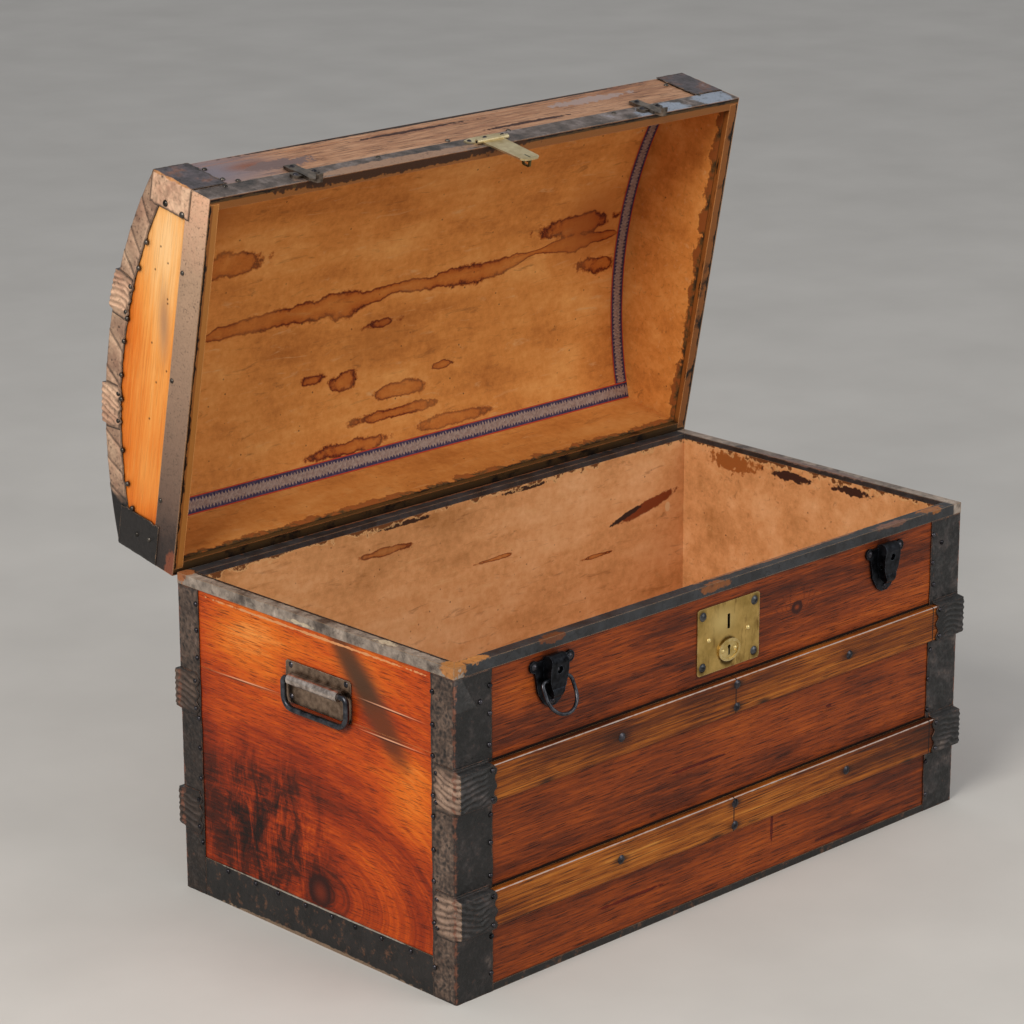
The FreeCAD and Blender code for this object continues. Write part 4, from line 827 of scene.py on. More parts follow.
piece("band_nails", nail_heads(places + right + far + rear, radius=3.2, height=2.3), nail_steel,
      "case")

# ---- Slats and their clamps
# Oak slats across the front and back, oiled yellow brown, held by round headed nails
# and by pressed iron clamps over their ends, each with five or six wavy ridges.

# Oiled oak: coarse black pores drawn out along the grain over yellow brown, with a satin shine.
OAK = [(0.36, "#241006"), (0.45, "#662E0A"), (0.51, "#985012"), (0.58, "#BC7026"),
       (0.66, "#D89A4A")]

# Dark stains round the slats' nails and along their lower edges: x and z.
SLAT_STAINS = [(-180.0, 251.0), (13.0, 265.0), (13.0, 237.0), (214.0, 251.0), (-180.0, 102.5),
               (13.0, 116.5), (13.0, 88.5), (214.0, 102.5), (-300.0, 230.0), (60.0, 231.0),
               (-20.0, 82.0), (330.0, 81.0)]


def slat_marks(tree, point, shade):
    """A painted highlight along the top edge, dark gaps at the joints and the stains listed above.
    """
    for z in SLAT_HEIGHTS:
        # Painted highlight: a pale line along each slat's top front edge, where the light catches
        # it.
        shade = patch(tree, point, shade, (0.0, -242.7, z + 22.2), (3000.0, 2.0, 2.0), "#B4A49C",
                      ragged=0.45)
        for x in (11.0, 372.0):
            shade = patch(tree, point, shade, (x, -242.7, z), (1.1, 20.0, 60.0), "#1C0E08",
                          ragged=0.6)
    for x, z in SLAT_STAINS:
        shade = patch(tree, point, shade, (x, -243.0, z), (20.0, 30.0, 8.0), "#2C180C")
    return shade


oak = wood("oiled_oak", OAK, (0.035, 1.0, 1.0), ring=5.5, gloss=0.42, worn="#D8B078", lines=0.75,
           tones=[((330.0, -242.0, 102.0), (260.0, 40.0, 40.0), -0.10),
                  ((-200.0, -242.0, 251.0), (240.0, 40.0, 40.0), -0.03),
                  ((-200.0, -242.0, 102.0), (240.0, 40.0, 40.0), 0.05)], marks=slat_marks)
coat(oak, "front_slat_upper", "front_slat_lower", "back_slats")
coat(nail_steel, "slat_nails")
SLAT_HALF = 22.6                 # half a slat's width, and the iron over it
CLAMP_HALF = 27.5                # half a clamp's length


def over_slat(rise, lip):
    """Height of a clamp's long leg: over the slat in the middle, a lip above and below it."""
    return lambda t: lip + (rise - lip) * min(1.0, max(0.0, (SLAT_HALF + 1.3 - abs(t)) / 1.3))


def ridges(seed):
    """Wavy parallel ridges 7.4 mm apart flowing along the clamp, calming down to flat flanges."""
    def relief(s, t):
        flow = 4.0 * math.sin(s / 14 + seed) + 2.0 * math.sin(s / 7 + 2.1 * seed)
        fan = t * (1.0 + 0.0035 * s) + flow + 2.6 * noise.noise(Vector((s / 12, t / 9, seed)))
        ridge = (0.5 + 0.5 * math.cos(math.tau * fan / 7.4 + 1.3 * seed)) ** 1.4
        fade = min(1.0, max(0.0, (SLAT_HALF - abs(t) + 1.0) / 4.0))
        end = min(1.0, max(0.15, (50.0 - s) / 12), max(0.15, (s + 36.0) / 8))
        return 1.0 + 1.5 * ridge * fade * end + 0.25 * crinkle(Vector((s, t, 7.0 * seed)), 8.0)
    return relief


def lobes(seed):
    """Three round lobes, 17 mm apart and 4.4 mm deep, along both ends of a clamp."""
    def tails(t):
        first, second = (2.2 * (math.cos(math.tau * t / 17.0 + turn) - 1) for turn in (0.0, 0.6))
        return (first + noise.noise(Vector((t / 6, seed, 2.0))),
                second + noise.noise(Vector((t / 6, 5.0, seed))))
    return tails


def clamp_nails(at, front, end, lip):
    """Two nails at each end of a clamp: front in from the case's end and end down its other leg."""
    out = [at(0, 1, 0) - at(0, 0, 0), at(-1, 0, 0) - at(0, 0, 0)]
    return ([(at(front, lip, t), out[0]) for t in (-17.0, 17.0)] +
            [(at(-1.2, -end, t), out[1]) for t in (-17.5, 16.5)])


nails = []
for name, corners, node in (("ridged_clamps_left", [(-1, -1)], "slat_clamps_front_left"),
                            ("ridged_clamps_right", [(1, -1)], "slat_clamps_front_right"),
                            ("ridged_clamps_back", [(-1, 1), (1, 1)], "slat_clamps_back")):
    bm = bmesh.new()
    for side, face in corners:
        for height in SLAT_HEIGHTS:
            seed = 0.7 * side + 1.9 * face + height / 60
            at = case_corner(side, face, height)
            bent_sheet(bm, at, 35.0, 54.0, CLAMP_HALF, (54, 44), ridges(seed),
                       rise=over_slat(9.4, -0.4), tails=lobes(seed))
            nails += clamp_nails(at, front=47.0, end=28.5, lip=10.8)
    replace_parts(piece(name, bm, case_iron, "case", skin=0.8), node)
piece("clamp_nails", nail_heads(nails, radius=3.0, height=2.2), nail_steel, "case")

# ---- Lock
# A rolled brass plate and escutcheon nailed over the let-in steel case, its bolt and spring. The
# plate is streaked brown with tarnish, rubbed pale near its top and stained dark round its nails.
LOCK_FACE = -234.0


def lock_marks(tree, point, base):
    """Brown tarnish in drips 11 mm wide and round the nails, and one brighter rubbed area."""
    drips = add(tree, "VectorMath", {0: point, 1: (1.0, 1.0, 0.25)}, operation="MULTIPLY")
    drip = add(tree, "TexNoise", {"Vector": drips, "Scale": 0.09, "Detail": 5.0, "Roughness": 0.7})
    drip = add(tree, "MapRange", {"Value": drip, "From Min": 0.52, "From Max": 0.72})
    shade = add(tree, "Mix", {"Factor": drip, "A": base, "B": colour("#6E4E22")}, data_type="RGBA")
    for x, z in ((-39.5, 359.5), (51.5, 359.5), (-39.5, 293.5), (51.5, 293.5)):
        shade = patch(tree, point, shade, (x, LOCK_FACE, z), (10.0, 9.0, 11.0), "#33240F")
    shade = patch(tree, point, shade, (5.0, LOCK_FACE, 307.0), (21.5, 9.0, 23.5), "#54401C",
                  ragged=0.3)
    return patch(tree, point, shade, (-4.0, LOCK_FACE, 345.0), (34.0, 30.0, 26.0), "#DEC27E")


def brass_pins(tree, point, base):
    """The small pins inside the plate are brass; the four nails at its corners are steel."""
    return patch(tree, point, base, (6.0, LOCK_FACE, 326.5), (60.0, 30.0, 40.0), "#E4CC8C",
                 ragged=0.1)


# Rolled brass left to tarnish: brown yellow and half dull, brightest along its rubbed edges.
aged_brass = metal("aged_brass", "#A88A4A", "#D0AE68", 0.38, scale=0.05, worn="#F0DCA8",
                   marks=lock_marks)
coat(aged_brass, "lock_plate")

# The escutcheon is turned brass that the key keeps clean, so it is paler and shines.
bright_brass = metal("rubbed_escutcheon_brass", "#B89C58", "#E2C888", 0.30, scale=0.09,
                     worn="#F8ECC4")
coat(bright_brass, "lock_escutcheon")
coat(nail_steel, "lock_case", "lock_bolt", "lock_spring")

# Blued steel nails, a little paler than the small ones, and turned brass pins between them.
lock_nail_steel = metal("blued_lock_nail_steel", "#1C1D20", "#6A6C70", 0.32, marks=brass_pins)
coat(lock_nail_steel, "lock_nails")

# ---- Latches
# Cast iron bodies nailed on either side of the lock, with a forged wire ring in the left one. The
# rough sand casting is japanned black and rubbed to blue grey along its edges.
cast_iron = metal("black_cast_iron", "#0C0C0F", "#34373D", 0.40, worn="#66707C")
coat(cast_iron, "latch_casting_left", "latch_casting_right")
coat(nail_steel, "latch_nails")

# Forged steel bar: dark grey scale with dull bright edges.
forged = metal("forged_steel", "#23242A", "#5E6066", 0.34, worn="#9A9C9E")
coat(forged, "latch_ring_left")

# ---- Drop handles
# Pressed steel plates nailed to the ends, their lower edge rolled round a bail of round bar. The
# steel is bare and brown, and worn bright where hands and bail have rubbed it.


def handle_marks(tree, point, base):
    """The barrel is rubbed bright by the hand and painted lighter for its sheen; the flat plate
    stays brown.
    """
    flat = add(tree, "Mix", {"Factor": 1.0, "A": base, "B": colour("#B4A494")}, data_type="RGBA",
               blend_type="MULTIPLY")
    # Painted sheen: the barrel keeps the lighter colour that the plate is darkened from.
    barrel = outside(tree, point, "X", 433.6, 0.8)
    return add(tree, "Mix", {"Factor": barrel, "A": flat, "B": base}, data_type="RGBA")


# Pressed steel, bare and polished by use: pale, uneven and shining.
handle_steel = metal("worn_handle_steel", "#84766E", "#E8DAD0", 0.30, worn="#E8DCCE",
                     marks=handle_marks)
coat(handle_steel, "handle_plate_left", "handle_plate_right")
coat(forged, "handle_bail_left", "handle_bail_right")
coat(nail_steel, "handle_nails")

# ---- Hinges
# Three forged steel stop hinges let into the back edges of the case and the lid and held by
# their pins; a lug on each lower leaf stops the lid.
coat(forged, "hinge_leaves_lower", "hinge_leaves_upper")
coat(nail_steel, "hinge_pins")

# ---- Lid boards
# Straight pine walls and a dome of narrow staves, stained like the case and nailed at the corners.
# The lid is made shut, in case millimetres, and its patterns are turned open with it.
HINGE = Vector((0.0, 0.232, 0.38965))    # in metres, as the next function needs it
LID_OPEN = math.radians(79.1)
OPENED = (Matrix.Translation(1000 * HINGE) @ Matrix.Rotation(-LID_OPEN, 4, "X") @
          Matrix.Translation(-1000 * HINGE))
LID_FOOT = 394.6                 # where the shut lid meets the case
LID_END = 434.5                  # outer face of the lid's ends


def lid_point(tree):
    """The shaded point in millimetres, as it lies when the lid is shut."""
    coords = add(tree, "TexCoord").outputs["Object"]
    shut = Matrix.Rotation(LID_OPEN, 4, "X")
    back = add(tree, "Mapping", {"Vector": coords, "Rotation": (LID_OPEN, 0.0, 0.0),
                                 "Location": HINGE - shut @ HINGE})
    return add(tree, "VectorMath", {0: back, "Scale": 1000.0}, operation="SCALE")


def bare_rim(tree, point, shade, code, axis, outer):
    """Unstained wood on the rim face that meets the case, streaked over 33 mm along the rim and
    black where it is bruised."""
    z = add(tree, "SeparateXYZ", {0: point}).outputs["Z"]
    streak = add(tree, "VectorMath", {0: point, 1: (0.03, 0.03, 0.2)}, operation="MULTIPLY")
    streak = add(tree, "TexNoise",
                 {"Vector": streak, "Scale": 1.0, "Detail": 5.0, "Roughness": 0.7})
    raw = add(tree, "ValToRGB", {0: streak}, stops=[(0.36, "#140D08"), (0.46, code), (0.68, code)])
    chipped = add(tree, "Math", {0: streak, 1: 14.0, 2: outer - 10.0}, operation="MULTIPLY_ADD")
    place = add(tree, "Math", {0: add(tree, "SeparateXYZ", {0: point}).outputs[axis]},
                operation="ABSOLUTE")
    beyond = add(tree, "Math", {0: place, 1: chipped}, operation="GREATER_THAN")
    raw = add(tree, "Mix", {"Factor": beyond, "A": raw, "B": colour("#120D0A")}, data_type="RGBA")
    low = add(tree, "MapRange",
              {"Value": z, "From Min": LID_FOOT + 8.7, "From Max": LID_FOOT + 8.5})
    return add(tree, "Mix", {"Factor": low, "A": shade, "B": raw}, data_type="RGBA")


def wall_marks(tree, point, shade):
    """The front wall has a painted bluish sheen and rust at its left, and a painted mauve sheen and
    dark scratches further along; its rim is bare wood."""
    # The first, third and sixth patches are painted sheen of the sky on the varnish.
    for x, z, wide, tall, code, rag in ((-385.0, 460.0, 150.0, 90.0, "#756E78", 0.0),
                                        (-322.0, 462.0, 50.0, 16.0, "#80503E", 0.0),
                                        (-290.0, 452.0, 60.0, 16.0, "#6E5A58", 2.0),
                                        (100.0, 440.0, 90.0, 4.0, "#3A1A10", 1.6),
                                        (-60.0, 475.0, 120.0, 4.0, "#3A1A10", 1.6),
                                        (240.0, 470.0, 90.0, 10.0, "#A08A84", 2.4),
                                        (0.0, 492.0, 420.0, 3.5, "#1C1210", 0.9)):
        shade = patch(tree, point, shade, (x, -233.0, z), (wide, 30.0, tall), code, ragged=rag)
    shade = bare_rim(tree, point, shade, "#4A351C", "Y", 233.0)
    shade = patch(tree, point, shade, (0.0, -223.0, LID_FOOT), (3000.0, 6.0, 3.0), "#8A5628",
                  ragged=0.4)
    return patch(tree, point, shade, (-150.0, -228.0, LID_FOOT), (240.0, 8.0, 3.0), "#3E2412",
                 ragged=1.8)


def lid_end_marks(tree, point, shade):
    """A long smudge and worm holes; the rim is bare wood."""
    shade = patch(tree, point, shade, (-434.0, -62.0, 452.0), (30.0, 70.0, 16.0), "#B8875E",
                  lean=-8.0)
    for y, z in ((-150.0, 470.0), (-120.0, 476.0), (-93.0, 450.0), (-88.0, 449.0), (-32.0, 470.0),
                 (-8.0, 440.0), (12.0, 456.0), (-135.0, 455.0), (60.0, 462.0)):
        shade = patch(tree, point, shade, (-434.0, y, z), (6.0, 2.2, 2.2), "#2A120A")
    shade = bare_rim(tree, point, shade, "#8A5426", "X", LID_END)
    return patch(tree, point, shade, (-424.0, 0.0, LID_FOOT), (6.0, 3000.0, 3.0), "#A86E34",
                 ragged=0.3)


# Varnished pine whose stain has faded to a pinkish grey brown, with pores and lines still dark,
# its colours painted paler too as a painted sheen of the varnish lit from above.
FADED_AND_SHEEN = [(0.28, "#54301F"), (0.40, "#8A5A40"), (0.50, "#B08262"), (0.60, "#C69C7E"),
         (0.76, "#DABEA4")]
lid_boards = wood("varnished_pine_lid", FADED_AND_SHEEN, (0.06, 1.0, 1.0), place=lid_point, ring=9.0,
                  marks=wall_marks)
coat(lid_boards, "lid_front_wall", "lid_back_wall", "dome_staves")

# The lid's ends are the same pine, stained and varnished so thinly that they glow orange to straw.
GLOWING = [(0.20, "#7E300E"), (0.40, "#C85E14"), (0.56, "#E27C28"), (0.72, "#F09E4C"),
           (0.86, "#F6B872"), (1.0, "#FACC92")]
lid_end_boards = wood("varnished_pine_lid_end", GLOWING, (1.0, 0.05, 1.0), place=lid_point,
                      ring=9.0, lines=0.05, pores=0.16, worn="#E8A868",
                      tones=[((-434.0, -150.0, 460.0), (60.0, 150.0, 90.0), 0.42),
                             ((-434.0, 20.0, 450.0), (60.0, 150.0, 90.0), 0.20),
                             ((-434.0, 130.0, 440.0), (60.0, 60.0, 90.0), 0.10),
                             ((-434.0, 200.0, 430.0), (60.0, 50.0, 60.0), -0.18)],
                      marks=lid_end_marks)
coat(lid_end_boards, "lid_end_left", "lid_end_right")

# ---- Dome slats
# Two straight oak strips along the dome, clamped at both ends. They are oiled like those of the
# case and have the same coarse black pores.
lid_oak = wood("oiled_oak_lid", OAK, (0.035, 1.0, 1.0), place=lid_point, ring=5.5, gloss=0.42,
               worn="#D8B078", lines=0.75)
coat(lid_oak, "dome_slats")

# ---- Sheet iron on the lid
# Flat bands round the rim, pressed plates on the corners, and an arched band of short
# lapped strips on each end with clamps over the slats. The ends are worn to bare brown.
DOME_R = 555.5                   # outer radius of the dome
DOME_AXIS_Z = -10.4              # height of its axis
LID_IRON_X = 435.3               # outer side of flat sheet iron on the lid's ends


def lid_iron_colours(tree, point, base, cloudy):
    """Bluish grey on the long faces, with painted bluish highlights at the right of the front; on
    the ends pale tan in front to rusty dark behind.
    """
    ends = outside(tree, point, "X", LID_IRON_X - 0.4, 0.4)
    y = add(tree, "SeparateXYZ", {0: point}).outputs["Y"]
    wander = add(tree, "Math", {0: cloudy, 1: 90.0, 2: y}, operation="MULTIPLY_ADD")
    depth = add(tree, "MapRange", {"Value": wander, "From Min": -190.0, "From Max": 280.0})
    brown = add(tree, "ValToRGB", {0: depth},
                stops=[(0.0, "#E2BE9C"), (0.22, "#BC9A7E"), (0.5, "#A2836C"), (0.80, "#755B4C"),
                       (0.90, "#3E2E28"), (1.0, "#241C1A")])
    brown = add(tree, "Mix", {"Factor": 0.35, "A": brown, "B": base}, data_type="RGBA",
                blend_type="OVERLAY")
    blue = add(tree, "ValToRGB", {0: cloudy},
               stops=[(0.36, "#2A2625"), (0.50, "#544A46"), (0.62, "#7C7270"), (0.7, "#8E8A92")])
    shade = add(tree, "Mix", {"Factor": ends, "A": blue, "B": brown}, data_type="RGBA")
    # The first two patches are painted highlights.
    for x, yy, z, size, code in ((300.0, -233.0, 400.0, (60.0, 9.0, 30.0), "#8A94A4"),
                                 (400.0, -233.0, 410.0, (40.0, 9.0, 30.0), "#8A94A4"),
                                 (-150.0, -233.0, 402.0, (170.0, 9.0, 12.0), "#94745E"),
                                 (-435.5, 226.0, 398.0, (9.0, 30.0, 14.0), "#7A4028")):
        shade = patch(tree, point, shade, (x, yy, z), size, code, ragged=0.8)
    return dark_rim(tree, shade)


# Japanned iron bands, worn nearly through: fine pits over tan metal on the ends, grey in front.
lid_iron = iron("japanned_lid_iron", "#6A6A6A", "#A0A0A0", lid_iron_colours, place=lid_point,
                worn="#C09C80", pebble=2.6, glint=1.35)
coat(lid_iron, "lid_rim_bands")


def arch_colours(tree, point, base, cloudy):
    """Brown on the ends, near black towards the hinges and on the long faces."""
    y = add(tree, "SeparateXYZ", {0: point}).outputs["Y"]
    wander = add(tree, "Math", {0: cloudy, 1: 50.0, 2: y}, operation="MULTIPLY_ADD")
    back = add(tree, "MapRange", {"Value": wander, "From Min": 190.0, "From Max": 205.0})
    shade = add(tree, "Mix", {"Factor": back, "A": base, "B": colour("#1A1615")}, data_type="RGBA")
    ends = outside(tree, point, "X", LID_IRON_X - 0.4, 0.4)
    plain = add(tree, "ValToRGB", {0: cloudy},
                stops=[(0.36, "#2A2629"), (0.52, "#4C464C"), (0.62, "#6A4A3E"), (0.70, "#767078")])
    shade = add(tree, "Mix", {"Factor": ends, "A": plain, "B": shade}, data_type="RGBA")
    for side in (-1, 1):
        shade = patch(tree, point, shade, (435.5 * side, -234.0, 464.0), (2.4, 2.4, 46.0),
                      "#B07C50", ragged=2.6)
    return dark_rim(tree, shade)


# The pressed iron over the arch has lost most of its japan: pale brown tops, dark only in folds;
# the tops also carry a painted highlight and the folds painted shade.
arch_iron = iron("japanned_arch_iron", "#AE866E", "#D8B496", arch_colours, place=lid_point,
                 worn="#B08C70", pebble=3.6, glint=1.5, pressed=True, sink=0.42)


def dome_corner(side, middle):
    """Turns (inward, outward, along the arc) at the dome's rim into a point in mm, lid shut."""
    def at(e, o, t):
        angle = middle + t / (DOME_R - 14.0)
        r = DOME_R + 0.8 + o
        return Vector((side * (LID_IRON_X - e), r * math.sin(angle),
                       DOME_AXIS_Z + r * math.cos(angle)))
    return at


# Each arch band is nailed on as short strips, the front end of every one lapped over the strip
# before it. LAPS are those ends along the arch, cut on the slant as far in as the inner bead.
LAPS = [-260.0, -196.0, -153.0, -121.6, -86.4, -20.6, 22.8, 64.0, 100.0, 132.0, 165.0, 196.0, 260.0]
LAP_REACH = 28.0                 # how far in the slanting cut runs
LAP_SLANT = 0.7                  # and how steeply


def lapped(side):
    """The strips' thin lapped ends, their crinkles and the bead along the inner edge."""
    def relief(s, t):
        depth = min(LAP_REACH, max(0.0, -s))
        place = t - LAP_SLANT * depth
        index = max(i for i, lap in enumerate(LAPS) if lap <= max(place, LAPS[0]))
        index = min(index, len(LAPS) - 2)
        share = (place - LAPS[index]) / (LAPS[index + 1] - LAPS[index])
        strip = Vector((s, t, 31.0 * index + 3.0 * side))
        bead = math.exp(-((depth - 26.0) / 1.6) ** 2)
        if t < -194 or t > 178:
            return 0.1
        return (0.15 + 0.9 * (1 - min(1.0, share)) ** 4 + 0.35 * max(-0.4, crinkle(strip, 7.0)) +
                0.6 * bead)
    return relief


def lap_lines(s, t):
    """1 along the cut end of each strip, where a painted shadow line runs."""
    place = t - LAP_SLANT * min(LAP_REACH, max(0.0, -s))
    near = min(abs(place - lap) for lap in LAPS)
    return max(0.0, 1 - (near / 2.0) ** 2)


for side, word in ((-1, "left"), (1, "right")):
    bm = bmesh.new()
    bent_sheet(bm, dome_corner(side, 0.0), 28.4, 16.0, 234.2, (24, 380), lapped(side),
               tails=lambda t: (1.4 * noise.noise(Vector((t / 9, 4.0, 0.0))) + 0.8, 0.0),
               seams=lap_lines)
    bmesh.ops.transform(bm, matrix=OPENED, verts=bm.verts)
    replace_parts(piece("lapped_arch_band_" + word, bm, arch_iron, "lid", skin=0.6),
                "lid_arch_band_" + word)


def pressed_plate(seed):
    """Shallow crinkles 9 mm apart."""
    return lambda s, t: max(0.5, 0.95 + 0.45 * crinkle(Vector((s, t, seed)), 9.0))


def under_the_dome(side, face):
    """Turns (inward, outward, up) at a lid corner into a point in mm, lid shut; the plate's end leg
    is cut to follow the arch at its top."""
    limit = DOME_R + 0.6

    def cut(e, o, t):
        point = Vector((side * (LID_IRON_X - e), face * (CASE_FACE + o), 460.0 + t))
        r = math.hypot(point.y, point.z - DOME_AXIS_Z)
        if e <= 0.5 and o < 0.0 and r > limit:
            point = Vector((point.x, point.y * limit / r,
                            DOME_AXIS_Z + (point.z - DOME_AXIS_Z) * limit / r))
        return point
    return cut


bm = bmesh.new()
for side in (-1, 1):
    for face in (-1, 1):
        back = 37.0 if face < 0 else 50.0
        bent_sheet(bm, under_the_dome(side, face), back, 50.0, 35.0, (56, 44),
                   pressed_plate(side + 3.0 * face),
                   tails=lambda t: (3.0 * noise.noise(Vector((t / 7, 8.0, 1.0))),
                                    2.0 * noise.noise(Vector((t / 7, 1.0, 6.0)))))
bmesh.ops.transform(bm, matrix=OPENED, verts=bm.verts)
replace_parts(piece("pressed_corner_plates", bm, arch_iron, "lid", skin=0.6),
            "lid_corner_plates")

lid_nails = []
bm = bmesh.new()
for side in (-1, 1):
    for slat_y in (-71.0, 71.0):
        at = dome_corner(side, math.asin(slat_y / DOME_R))
        seed = 1.3 * side + slat_y / 30
        bent_sheet(bm, at, 31.0, 46.0, CLAMP_HALF, (50, 44), ridges(seed),
                   rise=over_slat(6.4, -0.6), tails=lobes(seed))
        lid_nails += clamp_nails(at, front=41.0, end=25.0, lip=7.6)
bmesh.ops.transform(bm, matrix=OPENED, verts=bm.verts)
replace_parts(piece("ridged_dome_clamps", bm, arch_iron, "lid", skin=0.8),
            "dome_slat_clamps")

# Domed nails along the inner edge of each arch band and on the end rim bands and rear plates, by y
# and z, then on the front band and plates, by x and z.
ARCH_NAILS = [(-147.0, 493.0), (-112.0, 502.5), (-45.0, 514.5), (-16.0, 516.5), (26.0, 515.8),
              (55.0, 512.0), (116.0, 501.6), (153.5, 487.3), (180.0, 475.0)]
RIM_NAILS = [(-133.2, 428.0), (-1.0, 428.0), (150.0, 428.0)]
PLATE_NAILS = [(208.5, 462.7), (205.9, 440.0)]
FRONT_NAILS = [(-378.6, 472.8), (-379.9, 439.3), (-366.3, 428.4), (-162.1, 419.6), (-41.9, 429.6),
               (55.2, 425.6), (230.0, 418.0), (390.0, 424.0), (378.0, 470.0), (-392.0, 420.0)]
for side in (-1, 1):
    lid_nails += [(Vector((side * 437.0, y, z)), Vector((side, 0, 0))) for y, z in ARCH_NAILS]
    lid_nails += [(Vector((side * 435.2, y, z)), Vector((side, 0, 0))) for y, z in RIM_NAILS]
    lid_nails += [(Vector((side * 436.3, y, z)), Vector((side, 0, 0))) for y, z in PLATE_NAILS]
lid_nails += [(Vector((x, -233.2 if z < 424 else -232.8, z)), Vector((0, -1, 0)))
              for x, z in FRONT_NAILS]
lid_nails += [(Vector((x, 233.2, 416.0)), Vector((0, 1, 0)))
              for x in (-390.0, -210.0, -90.0, 90.0, 210.0, 390.0)]
bm = nail_heads(lid_nails, radius=3.1, height=2.2)
big = nail_heads([(Vector((side * 436.2, y, z)), Vector((side, 0, 0))) for side in (-1, 1)
                  for y, z in ((-203.2, 466.9), (-199.8, 437.0))], radius=4.2, height=2.8)
extra = bpy.data.meshes.new("big_nails")
big.to_mesh(extra)
big.free()
bm.from_mesh(extra)
bpy.data.meshes.remove(extra)
bmesh.ops.transform(bm, matrix=OPENED, verts=bm.verts)
# Nail steel for the lid, painted lighter than the case's as a lit copy: brown grey and softly
# shining.
lit_copy_nail_steel = metal("nail_steel_painted_lighter", "#2A2826", "#6E6862", 0.34, place=lid_point)
piece("lid_nails", bm, lit_copy_nail_steel, "lid")

# ---- Lid lining and tapes
# The same tan paper, pasted in, with long brown tide marks where water ran between the staves. A
# woven tape is pasted over every seam of the dome.


def lid_rim_paper(tree, point, ragged, shade):
    """Below a ragged line at the rim the paper has gone: brown torn edge, then bare wood."""
    height = add(tree, "SeparateXYZ", {0: point}).outputs["Z"]
    line = add(tree, "Math", {0: ragged, 1: -46.0, 2: height}, operation="MULTIPLY_ADD")
    core = add(tree, "MapRange",
               {"Value": line, "From Min": 388.0, "From Max": 387.0, "To Max": 0.8})
    shade = add(tree, "Mix", {"Factor": core, "A": shade, "B": colour("#7A4018")}, data_type="RGBA")
    gone = add(tree, "MapRange", {"Value": line, "From Min": 386.0, "From Max": 385.0})
    bare = add(tree, "ValToRGB", {0: ragged},
               stops=[(0.44, "#33271A"), (0.50, "#5E4422"), (0.56, "#8E5022")])
    return add(tree, "Mix", {"Factor": gone, "A": shade, "B": bare}, data_type="RGBA")


# Unglazed paper like the case's, a warmer tan because the light never reached it.
LID_TAN = [(0.34, "#B06828"), (0.5, "#D68C42"), (0.64, "#E8A65C")]
lid_paper = paper("lining_paper_lid", lid_point, LID_TAN,
                  course=[(-312.0, 15.0, 2.0), (-283.0, 10.0, 8.0), (-225.0, 9.7, 11.0),
                          (-172.0, 9.9, 13.5), (-113.0, 7.4, 14.5), (-76.0, 7.0, 20.0),
                          (-38.0, 8.4, 11.5), (0.0, 2.4, 7.0), (78.0, 5.4, 10.7),
                          (136.0, 6.0, 17.0), (182.0, 4.0, 12.0), (247.0, -3.8, 4.0),
                          (314.0, -5.0, 10.7), (389.0, -6.0, 6.5), (398.0, -6.0, 0.1),
                          (420.0, -6.0, 0.1)],
                  stains=[((-285.0, -78.0, 535.0), (60.0, 17.0, 60.0)),
                          ((325.0, -32.0, 545.0), (80.0, 15.0, 60.0)),
                          ((372.0, 32.0, 540.0), (44.0, 14.0, 60.0)),
                          ((-82.0, 108.0, 520.0), (26.0, 13.0, 60.0)),
                          ((-124.0, 98.0, 525.0), (20.0, 8.0, 60.0)),
                          ((-10.0, 46.0, 530.0), (30.0, 8.0, 60.0)),
                          ((20.0, 136.0, 510.0), (44.0, 9.0, 60.0)),
                          ((90.0, 118.0, 510.0), (26.0, 5.0, 60.0)),
                          ((0.0, 162.0, 505.0), (70.0, 7.0, 60.0)),
                          ((-70.0, 190.0, 495.0), (66.0, 9.0, 60.0)),
                          ((106.0, 186.0, 495.0), (56.0, 8.0, 60.0)),
                          ((-170.0, -219.0, 400.0), (130.0, 30.0, 15.0))],
                  patches=[((-340.0, -150.0, 520.0), (90.0, 60.0, 70.0), "#B06A2A", 0.0, 0.0),
                           ((340.0, -30.0, 520.0), (90.0, 90.0, 70.0), "#AA6226", 0.0, 0.0),
                           ((-30.0, 74.0, 590.0), (130.0, 70.0, 92.0), "#8E5018", 0.0, 0.0),
                           ((0.0, 260.0, 420.0), (2000.0, 70.0, 110.0), "#6A3812", 0.0, 0.0)],
                  torn=lid_rim_paper)
coat(lid_paper, "lid_lining")

TAPE_R = 542.2                   # radius of the lining's inner face
TAPE_WIDE = 22.0
TOOTH = 5.0                      # spacing of the woven teeth

# Woven cotton tape: a pale middle, navy teeth from both sides and a red selvedge, dry and soft
# edged. Its UV runs in metres along the tape and 0 to 1 across. The picks are drawn 2 mm apart,
# coarser than real ones, so that they show, and frayed over 4 mm.
tape_weave, tree, shader = blank_material("woven_tape")
uv = add(tree, "SeparateXYZ", {0: add(tree, "TexCoord").outputs["UV"]})
fray = add(tree, "TexNoise", {"Vector": lid_point(tree), "Scale": 0.25, "Detail": 3.0})
run = add(tree, "Math", {0: uv.outputs["X"], 1: 1000.0}, operation="MULTIPLY")
run = add(tree, "Math", {0: fray, 1: 2.2, 2: run}, operation="MULTIPLY_ADD")
wide = add(tree, "Math", {0: uv.outputs["Y"], 1: 0.5}, operation="SUBTRACT")
wide = add(tree, "Math", {0: wide}, operation="ABSOLUTE")
tooth = add(tree, "Math", {0: run, 1: TOOTH / 2}, operation="PINGPONG")
edge = add(tree, "Math", {0: tooth, 1: 0.07, 2: 0.15}, operation="MULTIPLY_ADD")
edge = add(tree, "Math", {0: fray, 1: 0.22, 2: edge}, operation="MULTIPLY_ADD")
edge = add(tree, "Math", {0: edge, 1: wide}, operation="SUBTRACT")
marks = add(tree, "MapRange", {"Value": edge, "From Min": 0.07, "From Max": 0.11})
